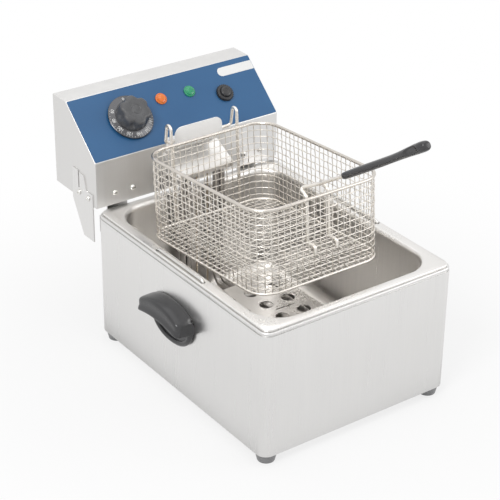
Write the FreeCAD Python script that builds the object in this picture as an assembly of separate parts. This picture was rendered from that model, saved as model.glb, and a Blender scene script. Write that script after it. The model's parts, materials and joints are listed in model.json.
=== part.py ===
import FreeCAD, Part
import math
import os

# Countertop deep fryer in millimetres. Front is -Y, right is +X, up is +Z.
# The model is drawn about the cabinet's middle and moved at the end, so that the
# origin lies under the middle of the whole fryer, on the surface it stands on.

# Cabinet
cabinet_width = 265.0
cabinet_depth = 342.0
cabinet_height = 158.5
cabinet_corner = 13.0
sheet = 1.0
hem_height = 3.5
hem_step = 0.8
ledge_clearance = 2.0
base_flange = 12.0
rear_seam_inset = 13.0
rear_seam_depth = 12.0

# Feet
foot_height = 12.5
foot_top_radius = 13.0
foot_bottom_radius = 10.0
foot_inset = 14.8
foot_recess_radius = 5.0
foot_recess_depth = 6.0

# Flat sides of round pieces
wire_sides = 8
bend_step = 32.0
hole_sides = 6
round_sides = 16
knob_steps = 6
grip_sides = 12
same_place = 1e-6

# Screws, all of one size
screw_radius = 2.0
screw_head_radius = 3.6
screw_dome_radius = 2.2
screw_head_height = 2.4
screw_length = 7.0
screw_clearance = 0.2

# Side handles
cup_width = 84.0
cup_height = 52.0
cup_corner = 38.0
cup_reach = 25.0
cup_top = 117.0
cup_slope = 6.0
cup_lip = 16.0
cup_wall = 4.0
cup_hollow_reach = 8.5
cup_middle_y = 2.0
cup_screw_spacing = 60.0
cup_screw_drop = 8.0

# Oil tank
tank_corner = 36.0
side_ledge = 17.5
end_ledge = 16.0
tank_depth = 142.0
tank_floor_edge = 15.0
tank_wall = 1.2
flange_inset = 3.0
flange_lip = 3.0

# Tank bails
bail_wire = 4.0
bail_length = 90.0
bail_middle_y = 1.5
bail_inset = 8.0
bail_drop = 34.0
bail_hook = 6.0
bail_hole_clearance = 0.4
bail_lie = 0.3

# Control head
head_width = 266.0
head_overlap = 2.9
head_gap = 3.5
head_front_height = 59.4
head_top_depth = 30.2
head_return = 9.0
panel_length = 85.6
panel_tilt = 41.3
label_sheet = 0.5
label_margin = 2.0
label_corner = 2.0
front_screw_spots = [82.0, 107.0]
front_screw_rise = 15.0

# Cheek plates on the head's sides
cheek_sheet = 1.5
cheek_drop = 47.0
cheek_front_gap = 3.8
cheek_foot = 23.2
cheek_depth = 46.7
cheek_knee = 4.0
cheek_rise = 37.0
cheek_step_rise = 16.0
cheek_step_depth = 14.2
cheek_prong_depth = 19.7
cheek_slot_width = 2.4
cheek_slot_inset = 14.5
cheek_slot_rise = 14.5
cheek_screw_rise = 8.0
cheek_screw_inset = 10.0
cheek_screw_spacing = 21.0

# Hook tongues and their keepers
tongue_width = 28.0
tongue_sheet = 2.0
tongue_flange = 18.0
tongue_inset = 36.5
tongue_drop = 41.7
tongue_setback = 10.8
tongue_clearance = 0.3
keeper_width = 44.0
keeper_height = 22.0
keeper_wall = 1.2
keeper_reach = 17.0

# Heating element
tube_radius = 4.0
tube_bend = 16.0
riser_outer_x = 29.0
riser_inner_x = 20.5
riser_gap = 14.0
loop_side_reach = 33.5
loop_front_gap = 57.0
loop_rear_gap = 37.0
loop_side_step = 26.0
loop_front_step = 28.0
loop_rear_step = 18.0
element_floor_gap = 10.5
element_entry_rise = 31.0
element_tail = 26.0
tube_clearance = 0.3
element_flange_width = 76.0
element_flange_height = 20.0
element_flange_sheet = 2.0

# Guard plate on the element
guard_side_overhang = 10.0
guard_end_overhang = 12.0
guard_corner = 10.0
guard_sheet = 1.0
guard_skirt = 7.0
guard_hole_radius = 8.7
guard_pitch = 33.0
guard_columns = 5
guard_rows = 6
guard_slit_length = 28.0
guard_slit_width = 2.2

# Element hood and basket hanger
hood_half_width = 40.0
hood_sheet = 1.0
hood_rise = 49.0
hood_flange = 9.4
hood_lip = 6.0
hood_lip_rise = 31.4
hood_basket_gap = 0.4
hanger_half_width = 34.0
hanger_sheet = 1.2
hanger_height = 19.6
hanger_corner = 10.0
hanger_flange_rise = 51.0
hanger_screw_spot = 20.0
hanger_screw_rise = 54.8
hanger_clearance = 0.3

# Controls on the sloping panel: place across, place up the slope
knob_spot = (-63.5, 44.0)
orange_spot = (-12.6, 57.5)
green_spot = (29.0, 57.4)
reset_spot = (74.5, 43.0)
skirt_radius = 29.0
skirt_height = 4.0
skirt_lift = 2.0
skirt_edge = 2.0
hub_radius = 9.0
knob_radius = 20.5
knob_top_radius = 18.0
knob_height = 18.0
knob_edge = 2.0
knob_dish_radius = 11.0
knob_dish_depth = 1.5
knob_scallops = 6
knob_scallop_depth = 2.5
shaft_radius = 3.0
shaft_clearance = 0.05
shaft_hold = 9.0
shaft_tail = 10.0
bush_radius = 5.0
bush_length = 2.0
body_side = 40.0
body_corner = 4.0
body_height = 28.0
lamp_radius = 7.5
lamp_height = 4.0
lamp_edge = 1.2
lamp_neck_radius = 5.5
lamp_neck_length = 22.0
reset_bezel_radius = 11.35
reset_bezel_height = 4.0
reset_neck_radius = 8.5
reset_neck_length = 6.5
reset_button_radius = 7.0
reset_button_rise = 8.0
reset_button_dome = 2.0
reset_button_tail = 2.5
reset_clearance = 0.08
panel_hole_clearance = 0.2

# Bulbs with their capillaries
bulb_radius = 3.0
bulb_length = 86.0
bulb_spot_x = 8.0
capillary_radius = 1.1
capillary_bend = 6.0
capillary_lead = 16.0

# Terminal block and cord gland
block_size = (52.0, 22.0, 20.0)
block_spot = (40.0, 32.0)
block_groove = 4.0
gland_spot_x = 80.0
gland_rise = 28.0
gland_radius = 10.0
gland_neck_radius = 7.0
gland_bore_radius = 4.0
gland_reach = 10.0
gland_collar = 3.5
gland_tail = 8.0

# Basket, drawn about the middle of its rim and then tilted
basket_width = 174.0
basket_length = 228.0
basket_height = 100.0
basket_corner = 27.0
basket_tilt = -4.2
basket_hang_reach = 148.6
basket_hang_rise = 81.9
rim_radius = 2.25
base_wire_radius = 1.5
net_sheet = 1.5
net_bar = 1.7
net_step = 22.0
net_rows = 5
net_fit = 0.1
corner_facets = 3
hook_wire = 4.0
hook_half_width = 48.8
hook_rise = 22.5
hook_reach = 13.5
hook_top_reach = 6.5
hook_crossbar_drop = 2.0
hook_bend = 3.2
hook_foot_lift = 2.0

# Basket handle
handle_wire = 4.0
handle_half_width = 15.0
handle_inset = 5.5
handle_toe = 1.2
handle_toe_drop = 9.0
handle_bend = 2.2
handle_toe_row = 3
handle_kink = 15.0
handle_kink_rise = 4.0
handle_neck_half = 4.2
handle_neck_y = -112.0
handle_neck_z = 13.2
grip_start_y = -151.0
grip_start_z = 34.0
grip_tip_y = -287.5
grip_tip_z = 110.0
grip_insert = 40.0
grip_sections = [
    (0.00, 7.5, 6.5),
    (0.06, 8.3, 7.0),
    (0.45, 8.6, 7.2),
    (0.75, 10.0, 6.8),
    (0.92, 11.5, 6.0),
    (0.98, 9.0, 4.8),
    (1.00, 5.0, 2.6),
]
grip_hole_radius = 4.0
grip_hole_place = 0.90

# Levels and places worked out from the sizes above
sheet_bottom = foot_height
hem_top = sheet_bottom + cabinet_height
flange_top = hem_top + flange_lip
tank_floor = flange_top - tank_depth
cabinet_rear = cabinet_depth / 2
cabinet_side = cabinet_width / 2
tank_width = cabinet_width - 2 * side_ledge
tank_length = cabinet_depth - 2 * end_ledge
head_bottom = flange_top + head_gap
head_front = cabinet_rear - head_overlap
fold_level = head_bottom + head_front_height
slope_run = panel_length * math.cos(math.radians(panel_tilt))
slope_rise = panel_length * math.sin(math.radians(panel_tilt))
head_back = head_front + slope_run + head_top_depth
head_top = fold_level + slope_rise
head_side = head_width / 2
element_level = tank_floor + element_floor_gap
guard_bottom = element_level + tube_radius
element_entry = head_bottom + element_entry_rise
riser_y = tank_length / 2 - riser_gap
inner_loop_half = riser_inner_x + loop_side_reach
outer_loop_half = inner_loop_half + loop_side_step
outer_loop_front = tank_length / 2 - loop_front_gap
outer_loop_rear = riser_y - loop_rear_gap
inner_loop_front = outer_loop_front - loop_front_step
inner_loop_rear = outer_loop_rear - loop_rear_step
guard_width = 2 * (outer_loop_half + guard_side_overhang)
guard_length = 2 * (outer_loop_front + guard_end_overhang)
tongue_spot_x = cabinet_side - tongue_inset
tongue_front = cabinet_rear + tongue_setback
tongue_bottom = head_bottom - tongue_drop
bail_x = cabinet_side - bail_inset
bail_bend = bail_wire / 2 + bail_lie
cup_top_level = sheet_bottom + cup_top
basket_middle_y = head_front - basket_hang_reach
basket_rise = head_bottom + basket_hang_rise


def vec(x, y, z):
    return FreeCAD.Vector(x, y, z)


UP = vec(0, 0, 1)
RIGHT = vec(1, 0, 0)
REAR = vec(0, 1, 0)


def mirrored(shape):
    return shape.mirror(vec(0, 0, 0), RIGHT)


def face_of(points):
    return Part.Face(Part.makePolygon(points + points[:1]))


def rounded_outline(width, length, radius, level=0.0):
    """Closed wire of a rectangle with round corners, centred on the Z axis."""
    x = width / 2 - radius
    y = length / 2 - radius
    centres = [vec(x, y, level), vec(-x, y, level), vec(-x, -y, level), vec(x, -y, level)]
    arcs = []
    for turn, centre in enumerate(centres):
        arcs.append(Part.makeCircle(radius, centre, UP, 90 * turn, 90 * turn + 90))
    edges = []
    for arc, following in zip(arcs, arcs[1:] + arcs[:1]):
        end = arc.valueAt(arc.LastParameter)
        start = following.valueAt(following.FirstParameter)
        edges.append(arc)
        edges.append(Part.makeLine(end, start))
    return Part.Wire(edges)


def rounded_block(width, length, radius, low, high):
    return Part.Face(rounded_outline(width, length, radius, low)).extrude(UP * (high - low))


def box(x_range, y_range, z_range):
    low = vec(x_range[0], y_range[0], z_range[0])
    high = vec(x_range[1], y_range[1], z_range[1])
    size = high - low
    return Part.makeBox(size.x, size.y, size.z, low)


def folded_sheet(points, thickness, x_range):
    """Bent sheet: one face follows the (y, z) points, the other lies to their left."""
    path = [vec(x_range[0], y, z) for y, z in points]
    lefts = [RIGHT.cross(end - start).normalize() for start, end in zip(path, path[1:])]
    other = []
    for point, before, after in zip(path, lefts[:1] + lefts, lefts + lefts[-1:]):
        other.append(point + (before + after) * (thickness / (1 + before.dot(after))))
    return face_of(path + other[::-1]).extrude(RIGHT * (x_range[1] - x_range[0]))


def round_outline(sides):
    """Corners of a regular polygon of radius one."""
    turns = [2 * math.pi * side / sides for side in range(sides)]
    return [(math.cos(turn), math.sin(turn)) for turn in turns]


def patch(corners):
    """Flat faces over four corners, some of which may fall together."""
    points = []
    for corner in corners:
        if all(corner.distanceToPoint(point) > same_place for point in points):
            points.append(corner)
    if len(points) < 3:
        return []
    if len(points) == 3:
        return [face_of(points)]
    across = (points[1] - points[0]).cross(points[2] - points[0]).normalize()
    if abs(across.dot(points[3] - points[0])) < same_place:
        return [face_of(points)]
    return [face_of(points[:3]), face_of([points[0], points[2], points[3]])]


def skinned(rings, closed):
    """Solid with flat faces between rings of corners; open rows of rings get flat ends."""
    pairs = list(zip(rings, rings[1:]))
    faces = []
    if closed:
        pairs.append((rings[-1], rings[0]))
    else:
        faces = [face_of(rings[0]), face_of(rings[-1])]
    for ring, following in pairs:
        for side in range(len(ring)):
            back = side - 1
            faces += patch([ring[back], ring[side], following[side], following[back]])
    solid = Part.Solid(Part.makeShell(faces))
    if solid.Volume < 0:
        solid.reverse()
    return solid.removeSplitter()


def turned(profile, outline):
    """Solid about the Z axis: the outline grows and shrinks along the (radius, height) points."""
    rings = []
    for radius, height in profile:
        rings.append([vec(radius * x, radius * y, height) for x, y in outline])
    return skinned(rings, True)


def bent_run(points, bend, closed=False):
    """Points along a bent wire: each corner becomes a few short runs on its arc."""
    run = []
    if closed:
        before_all = points[-1:] + points
        after_all = points[1:] + points[:1]
    else:
        run = [points[0]]
        before_all = points
        points = points[1:-1]
        after_all = before_all[2:]
    for before, corner, after in zip(before_all, points, after_all):
        into = (corner - before).normalize()
        out = (after - corner).normalize()
        turn = into.getAngle(out)
        centre = corner + (out - into).normalize() * (bend / math.cos(turn / 2))
        first = corner - into * (bend * math.tan(turn / 2)) - centre
        steps = max(1, math.ceil(math.degrees(turn) / bend_step))
        for step in range(steps + 1):
            spin = FreeCAD.Rotation(into.cross(out), math.degrees(turn) * step / steps)
            run.append(centre + spin.multVec(first))
    if not closed:
        run.append(before_all[-1])
    return run


def tube(run, radius, closed=False):
    """Bar with flat sides along a run of points, mitred where it turns."""
    ways = [(end - start).normalize() for start, end in zip(run, run[1:] + run[:1])]
    if not closed:
        ways[-1] = ways[-2]
    before = ways[-1] if closed else ways[0]
    spin = FreeCAD.Rotation(UP, before)
    ring = [run[0] + spin.multVec(vec(radius * x, radius * y, 0)) for x, y in round_outline(wire_sides)]
    rings = []
    for point, after in zip(run, ways):
        mitre = before + after
        ring = [corner + before * (mitre.dot(point - corner) / mitre.dot(before)) for corner in ring]
        rings.append(ring)
        before = after
    return skinned(rings, closed)


def bent_wire(points, radius, bend):
    return tube(bent_run(points, bend), radius)


def wire_ring(width, length, corner, radius):
    x = width / 2
    y = length / 2
    points = [vec(x, y, 0), vec(-x, y, 0), vec(-x, -y, 0), vec(x, -y, 0)]
    return tube(bent_run(points, corner, True), radius, True)


def screw(place, into):
    """Dome-headed screw whose head stands on the given place and points away from into."""
    profile = [
        (0, -screw_length),
        (screw_radius, -screw_length),
        (screw_radius, 0),
        (screw_head_radius, 0),
        (screw_dome_radius, screw_head_height),
        (0, screw_head_height),
    ]
    whole = turned(profile, round_outline(hole_sides))
    whole.Placement = FreeCAD.Placement(place, FreeCAD.Rotation(UP, into * -1))
    return whole


def flat_sided_pin(radius, length, start, way, sides):
    """Straight bar with flat sides from a starting point along a unit vector."""
    pin = turned([(0, 0), (radius, 0), (radius, length), (0, length)], round_outline(sides))
    pin.Placement = FreeCAD.Placement(start, FreeCAD.Rotation(UP, way))
    return pin


def screw_hole(place, into, depth):
    """Hole with the flats of the screw's shank."""
    away = into * -1
    return flat_sided_pin(screw_radius + screw_clearance, 2 * depth, place + into * depth, away, hole_sides)


# Places on the sloping panel


def on_panel(shape, spot):
    """Move a shape drawn about the Z axis to a spot on the panel, Z along the panel's normal."""
    moved = shape.copy()
    tilt = FreeCAD.Rotation(RIGHT, panel_tilt)
    moved.Placement = FreeCAD.Placement(panel_point(spot, 0), tilt).multiply(shape.Placement)
    return moved


def panel_point(spot, height):
    tilt = FreeCAD.Rotation(RIGHT, panel_tilt)
    return vec(0, head_front, fold_level) + tilt.multVec(vec(spot[0], spot[1], height))


def panel_holes(extra):
    """Holes for the controls, through the panel and its label."""
    wanted = [
        (knob_spot, bush_radius),
        (orange_spot, lamp_neck_radius),
        (green_spot, lamp_neck_radius),
        (reset_spot, reset_neck_radius),
    ]
    reach = sheet * 4
    holes = []
    for spot, radius in wanted:
        hole = flat_sided_pin(radius + extra, 2 * reach, vec(0, 0, -reach), UP, round_sides)
        holes.append(on_panel(hole, spot))
    return holes


# Cabinet pieces


def foot_spots():
    x = cabinet_side - foot_inset
    y = cabinet_rear - foot_inset
    return {
        "front_left": vec(-x, -y, 0),
        "front_right": vec(x, -y, 0),
        "rear_left": vec(-x, y, 0),
        "rear_right": vec(x, y, 0),
    }


def cabinet_ring():
    """Walls, hem and ledge of the whole cabinet."""
    shoulder = hem_top - hem_height
    wall = rounded_block(cabinet_width, cabinet_depth, cabinet_corner, sheet_bottom, shoulder)
    hem_width = cabinet_width - 2 * hem_step
    hem_depth = cabinet_depth - 2 * hem_step
    hem = rounded_block(hem_width, hem_depth, cabinet_corner - hem_step, shoulder, hem_top)
    inner_width = cabinet_width - 2 * (sheet + hem_step)
    inner_depth = cabinet_depth - 2 * (sheet + hem_step)
    inner_corner = cabinet_corner - sheet - hem_step
    inside = rounded_block(inner_width, inner_depth, inner_corner, sheet_bottom, hem_top - sheet)
    mouth_grow = 2 * (tank_wall + ledge_clearance)
    mouth_corner = tank_corner + mouth_grow / 2
    mouth_width = tank_width + mouth_grow
    mouth_length = tank_length + mouth_grow
    mouth = rounded_block(mouth_width, mouth_length, mouth_corner, sheet_bottom, hem_top)
    ring = wall.fuse(hem).cut([inside, mouth])
    slot_width = bail_wire + 4 * bail_hole_clearance
    slot_length = bail_length + bail_wire + 4 * bail_hole_clearance
    slots = []
    for side in (-1, 1):
        x = side * bail_x
        y = bail_middle_y
        x_range = (x - slot_width / 2, x + slot_width / 2)
        slots.append(box(x_range, (y - slot_length / 2, y + slot_length / 2), (shoulder, hem_top)))
    holes = []
    for side in (-1, 1):
        for place in cup_screw_places():
            start = vec(side * cabinet_side, place.y, place.z)
            holes.append(screw_hole(start, RIGHT, 2 * (sheet + hem_step)))
    return ring.cut(slots + holes).removeSplitter()


def rear_seam_box():
    half = cabinet_side - rear_seam_inset
    return box((-half, half), (cabinet_rear - rear_seam_depth, cabinet_rear), (sheet_bottom, hem_top))


def cabinet_wrap():
    return cabinet_ring().cut(rear_seam_box())


def cabinet_rear_panel():
    return cabinet_ring().common(rear_seam_box())


def cabinet_base():
    play = 2 * (sheet + hem_step)
    width = cabinet_width - play
    depth = cabinet_depth - play
    corner = cabinet_corner - play / 2
    pan = rounded_block(width, depth, corner, sheet_bottom, sheet_bottom + base_flange)
    inside = rounded_block(
        width - 2 * sheet, depth - 2 * sheet, corner - sheet, sheet_bottom + sheet, sheet_bottom + base_flange
    )
    holes = [screw_hole(spot + UP * sheet_bottom, UP, 2 * sheet) for spot in foot_spots().values()]
    return pan.cut([inside] + holes)


def foot(spot):
    profile = [
        (screw_radius + screw_clearance, foot_recess_depth),
        (foot_recess_radius, foot_recess_depth),
        (foot_recess_radius, 0),
        (foot_bottom_radius, 0),
        (foot_top_radius, foot_height),
        (screw_radius + screw_clearance, foot_height),
    ]
    body = turned(profile, round_outline(round_sides))
    body.translate(spot)
    return body


def foot_screws():
    return Part.makeCompound([screw(spot + UP * foot_recess_depth, UP) for spot in foot_spots().values()])


def cup_screw_places():
    level = cup_top_level - cup_screw_drop
    half = cup_screw_spacing / 2
    return [vec(0, cup_middle_y - half, level), vec(0, cup_middle_y + half, level)]


def cup_outline(inset, low_drop):
    """Flat-topped outline with a round bottom, on the YZ plane."""
    half = cup_width / 2 - inset
    top = cup_top_level - inset
    low = cup_top_level - cup_height + inset - low_drop
    radius = cup_corner - inset
    right = vec(0, cup_middle_y + half - radius, low + radius)
    left = vec(0, cup_middle_y - half + radius, low + radius)
    bend = radius * math.sqrt(0.5)
    top_right = vec(0, cup_middle_y + half, top)
    top_left = vec(0, cup_middle_y - half, top)
    right_arc = Part.Arc(right + REAR * radius, right + vec(0, bend, -bend), right - UP * radius)
    left_arc = Part.Arc(left - UP * radius, left + vec(0, -bend, -bend), left - REAR * radius)
    edges = [
        Part.makeLine(top_left, top_right),
        Part.makeLine(top_right, right + REAR * radius),
        right_arc.toShape(),
        Part.makeLine(right - UP * radius, left - UP * radius),
        left_arc.toShape(),
        Part.makeLine(left - REAR * radius, top_left),
    ]
    return Part.Wire(edges)


def side_handle():
    """Cup handle on the left side: a visor with a hanging lip over a rounded back."""
    low = cup_top_level - cup_height
    lip_top = cup_top_level - cup_slope
    lip_bottom = lip_top - cup_lip
    span = (cup_middle_y - cup_width / 2, cup_middle_y + cup_width / 2)
    body = Part.Face(cup_outline(0, 0)).extrude(RIGHT * -cup_reach)
    sweep_mid = vec(-cup_hollow_reach, span[0], (low + lip_bottom) / 2 - cup_wall)
    sweep = Part.Arc(vec(-cup_reach, span[0], lip_bottom), sweep_mid, vec(-cup_wall, span[0], low))
    side_edges = [
        Part.makeLine(vec(0, span[0], cup_top_level), vec(-cup_reach, span[0], lip_top)),
        Part.makeLine(vec(-cup_reach, span[0], lip_top), vec(-cup_reach, span[0], lip_bottom)),
        sweep.toShape(),
        Part.makeLine(vec(-cup_wall, span[0], low), vec(0, span[0], low)),
        Part.makeLine(vec(0, span[0], low), vec(0, span[0], cup_top_level)),
    ]
    visor = Part.Face(Part.Wire(side_edges)).extrude(REAR * cup_width)
    pocket = Part.Face(cup_outline(cup_wall, 2 * cup_wall)).extrude(RIGHT * -(cup_reach - cup_wall))
    pocket_roof = face_of([
        vec(-cup_wall, span[0], low - 3 * cup_wall),
        vec(-cup_wall, span[0], cup_top_level - cup_wall),
        vec(-cup_reach + cup_wall, span[0], lip_top - cup_wall),
        vec(-cup_reach + cup_wall, span[0], low - 3 * cup_wall),
    ]).extrude(REAR * cup_width)
    handle = body.common(visor).cut(pocket.common(pocket_roof))
    handle.translate(RIGHT * -cabinet_side)
    pilots = []
    for place in cup_screw_places():
        start = vec(-cabinet_side, place.y, place.z)
        pilots.append(screw_hole(start, RIGHT, screw_length - sheet - hem_step))
    return handle.cut(pilots)


def side_handle_screws():
    inner = cabinet_side - sheet - hem_step
    screws = []
    for side in (-1, 1):
        for place in cup_screw_places():
            screws.append(screw(vec(side * inner, place.y, place.z), RIGHT * side))
    return Part.makeCompound(screws)


def tank_bowl(grow):
    """Room inside the tank, made larger all round by grow."""
    low = tank_floor - grow
    bevel = tank_floor_edge + grow * (2 - math.sqrt(2))
    bowl = rounded_block(tank_width + 2 * grow, tank_length + 2 * grow, tank_corner + grow, low, flange_top)
    floor_edges = [edge for edge in bowl.Edges if abs(edge.BoundBox.ZMax - low) < same_place + sheet / 10]
    return bowl.makeChamfer(bevel, floor_edges)


def oil_tank():
    """Straight-sided tank with a bevelled floor edge, hung by a wide flange with a turned-down lip."""
    width = cabinet_width - 2 * flange_inset
    depth = cabinet_depth - 2 * flange_inset
    corner = cabinet_corner - flange_inset
    flange = rounded_block(width, depth, corner, hem_top, flange_top)
    under = rounded_block(
        width - 2 * tank_wall, depth - 2 * tank_wall, corner - tank_wall, hem_top, flange_top - tank_wall
    )
    tank = flange.cut(under).fuse(tank_bowl(tank_wall)).cut(tank_bowl(0))
    holes = []
    for side in (-1, 1):
        for end in (-1, 1):
            start = vec(side * bail_x, bail_middle_y + end * bail_length / 2, flange_top + flange_lip)
            hole_radius = bail_wire / 2 + bail_hole_clearance
            holes.append(flat_sided_pin(hole_radius, 2 * flange_lip, start, UP * -1, wire_sides))
    return tank.cut(holes).removeSplitter()


def tank_bail():
    """Wire bail on the left flange: a bar with two legs that end in small hooks."""
    x = -bail_x
    top = flange_top + bail_wire / 2 + bail_lie
    front = bail_middle_y - bail_length / 2
    rear = bail_middle_y + bail_length / 2
    low = top - bail_drop
    points = [
        vec(x, front + bail_hook + bail_bend, low),
        vec(x, front, low),
        vec(x, front, top),
        vec(x, rear, top),
        vec(x, rear, low),
        vec(x, rear - bail_hook - bail_bend, low),
    ]
    return bent_wire(points, bail_wire / 2, bail_bend)


def head_keeper():
    """Slotted box bracket on the rear panel, left side."""
    low = tongue_bottom - tongue_clearance - keeper_wall
    x_range = (-tongue_spot_x - keeper_width / 2, -tongue_spot_x + keeper_width / 2)
    outside = box(x_range, (cabinet_rear, cabinet_rear + keeper_reach), (low, low + keeper_height))
    inside = box(
        x_range,
        (cabinet_rear + keeper_wall, cabinet_rear + keeper_reach - keeper_wall),
        (low + keeper_wall, low + keeper_height - keeper_wall),
    )
    half = tongue_width / 2 + tongue_clearance
    slot = box(
        (-tongue_spot_x - half, -tongue_spot_x + half),
        (tongue_front - tongue_clearance, tongue_front + tongue_sheet + tongue_clearance),
        (low + keeper_height / 2, low + keeper_height),
    )
    return outside.cut([inside, slot])


# Control head pieces


def head_outline(inset, open_reach):
    """Side outline of the head as (y, z) points; open_reach runs past the back and the bottom."""
    tilt = math.radians(panel_tilt)
    fold_shift = inset * math.tan(tilt / 2 + math.radians(45) - tilt)
    crest_shift = inset * math.tan(tilt / 2)
    front = head_front + inset
    return [
        (front, head_bottom - open_reach),
        (front, fold_level - fold_shift),
        (head_front + slope_run + crest_shift, head_top - inset),
        (head_back + open_reach, head_top - inset),
        (head_back + open_reach, head_bottom - open_reach),
    ]


def head_prism(inset, open_reach, half_width):
    points = [vec(-half_width, y, z) for y, z in head_outline(inset, open_reach)]
    return face_of(points).extrude(RIGHT * 2 * half_width)


def front_screw_places():
    level = head_bottom + front_screw_rise
    return [vec(side * x, head_front, level) for x in front_screw_spots for side in (-1, 1)]


def hanger_screw_places():
    """Heads of the screws that hold the hanger and the hood to the head."""
    level = head_bottom + hanger_screw_rise
    front = head_front - hood_sheet - hanger_sheet
    return [vec(side * hanger_screw_spot, front, level) for side in (-1, 1)]


def cheek_screw_places():
    level = head_bottom + cheek_screw_rise
    front = cabinet_rear + cheek_front_gap + cheek_screw_inset
    return [vec(-head_side, front, level), vec(-head_side, front + cheek_screw_spacing, level)]


def back_screw_places():
    inner = head_side - sheet - head_return / 2
    low = head_bottom + sheet + head_return / 2
    high = head_top - sheet - head_return / 2
    return [vec(x, head_back, z) for x in (-inner, inner) for z in (low, high)]


def tube_spots():
    return [-riser_outer_x, -riser_inner_x, riser_inner_x, riser_outer_x]


def entry_holes(extra):
    """Holes through the head's front for the element's tubes and the capillaries."""
    reach = 4 * element_flange_sheet
    holes = []
    for spots, radius in ((tube_spots(), tube_radius), ((-bulb_spot_x, bulb_spot_x), capillary_radius)):
        for x in spots:
            ends = [vec(x, head_front + reach, element_entry), vec(x, head_front - reach, element_entry)]
            holes.append(tube(ends, radius + extra))
    return holes


def head_shell():
    shell = head_prism(0, 0, head_side).cut(head_prism(sheet, 2 * sheet, head_side - sheet))
    rear_frame = box(
        (-head_side + sheet, head_side - sheet),
        (head_back - 2 * sheet, head_back - sheet),
        (head_bottom + sheet, head_top - sheet),
    )
    window = box(
        (-head_side + sheet + head_return, head_side - sheet - head_return),
        (head_back - 2 * sheet, head_back - sheet),
        (head_bottom + sheet + head_return, head_top - sheet - head_return),
    )
    shell = shell.fuse(rear_frame.cut(window))
    cuts = panel_holes(panel_hole_clearance) + entry_holes(tube_clearance)
    cuts += [screw_hole(place, REAR, 3 * sheet) for place in front_screw_places()]
    cuts += [screw_hole(place, REAR, 6 * sheet) for place in hanger_screw_places()]
    cuts += [screw_hole(place, REAR, 3 * sheet) for place in back_screw_places()]
    for place in cheek_screw_places():
        cuts.append(screw_hole(place, RIGHT, 3 * sheet))
        cuts.append(mirrored(screw_hole(place, RIGHT, 3 * sheet)))
    return shell.cut(cuts).removeSplitter()


def head_back_cover():
    cover = box(
        (-head_side + sheet, head_side - sheet),
        (head_back - sheet, head_back),
        (head_bottom + sheet, head_top - sheet),
    )
    cuts = [screw_hole(place, REAR, 3 * sheet) for place in back_screw_places()]
    gland = vec(gland_spot_x, head_back - 2 * sheet, head_bottom + gland_rise)
    cuts.append(flat_sided_pin(gland_neck_radius, 4 * sheet, gland, REAR, round_sides))
    return cover.cut(cuts)


def back_cover_screws():
    return Part.makeCompound([screw(place, REAR * -1) for place in back_screw_places()])


def head_base():
    return box(
        (-head_side + sheet, head_side - sheet),
        (head_front + sheet, head_back),
        (head_bottom, head_bottom + sheet),
    )


def control_label():
    width = head_width - 2 * label_margin
    length = panel_length - 2 * label_margin
    plate = rounded_block(width, length, label_corner, 0, label_sheet)
    plate = on_panel(plate, (0, panel_length / 2))
    return plate.cut(panel_holes(panel_hole_clearance))


def head_screws():
    screws = [screw(place, REAR) for place in front_screw_places() + hanger_screw_places()]
    for place in cheek_screw_places():
        outside = place - RIGHT * cheek_sheet
        screws.append(screw(outside, RIGHT))
        screws.append(mirrored(screw(outside, RIGHT)))
    return Part.makeCompound(screws)


def head_cheek():
    """Side plate on the head's left side, with a slotted upper edge."""
    front = cabinet_rear + cheek_front_gap
    low = head_bottom - cheek_drop
    top = head_bottom + cheek_rise
    back = front + cheek_depth
    slot_rear = back - cheek_slot_inset
    slot_front = slot_rear - cheek_slot_width
    slot_low = head_bottom + cheek_slot_rise
    outline = [
        (front, low),
        (front + cheek_foot, low),
        (back, head_bottom - cheek_knee),
        (back - cheek_knee / 2, top),
        (slot_rear, top),
        (slot_rear, slot_low),
        (slot_front, slot_low),
        (slot_front, top - cheek_slot_width),
        (front + cheek_prong_depth, top - cheek_slot_width),
        (front + cheek_step_depth, head_bottom + cheek_step_rise),
        (front, head_bottom + cheek_step_rise),
    ]
    points = [vec(-head_side, y, z) for y, z in outline]
    plate = face_of(points).extrude(RIGHT * -cheek_sheet)
    return plate.cut([screw_hole(place, RIGHT, 3 * sheet) for place in cheek_screw_places()])


def hook_tongue():
    """Angle bracket under the head, left side, that drops into the keeper."""
    points = [
        (tongue_front + tongue_flange, head_bottom),
        (tongue_front, head_bottom),
        (tongue_front, tongue_bottom),
    ]
    half = tongue_width / 2
    return folded_sheet(points, tongue_sheet, (-tongue_spot_x - half, -tongue_spot_x + half))


def element_loop(riser_x, half, front, rear):
    """One tube: in from the head, down its riser, round the tank floor and back."""
    end = head_front + element_tail
    side = [
        vec(riser_x, end, element_entry),
        vec(riser_x, riser_y, element_entry),
        vec(riser_x, riser_y, element_level),
        vec(riser_x, rear, element_level),
        vec(half, rear, element_level),
        vec(half, -front, element_level),
    ]
    other = [vec(-point.x, point.y, point.z) for point in reversed(side)]
    return bent_wire(side + other, tube_radius, tube_bend)


def heating_element():
    outer = element_loop(riser_outer_x, outer_loop_half, outer_loop_front, outer_loop_rear)
    inner = element_loop(riser_inner_x, inner_loop_half, inner_loop_front, inner_loop_rear)
    return Part.makeCompound([outer, inner])


def element_flange():
    half = element_flange_width / 2
    plate = box(
        (-half, half),
        (head_front - element_flange_sheet, head_front),
        (element_entry - element_flange_height / 2, element_entry + element_flange_height / 2),
    )
    return plate.cut(entry_holes(0))


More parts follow.
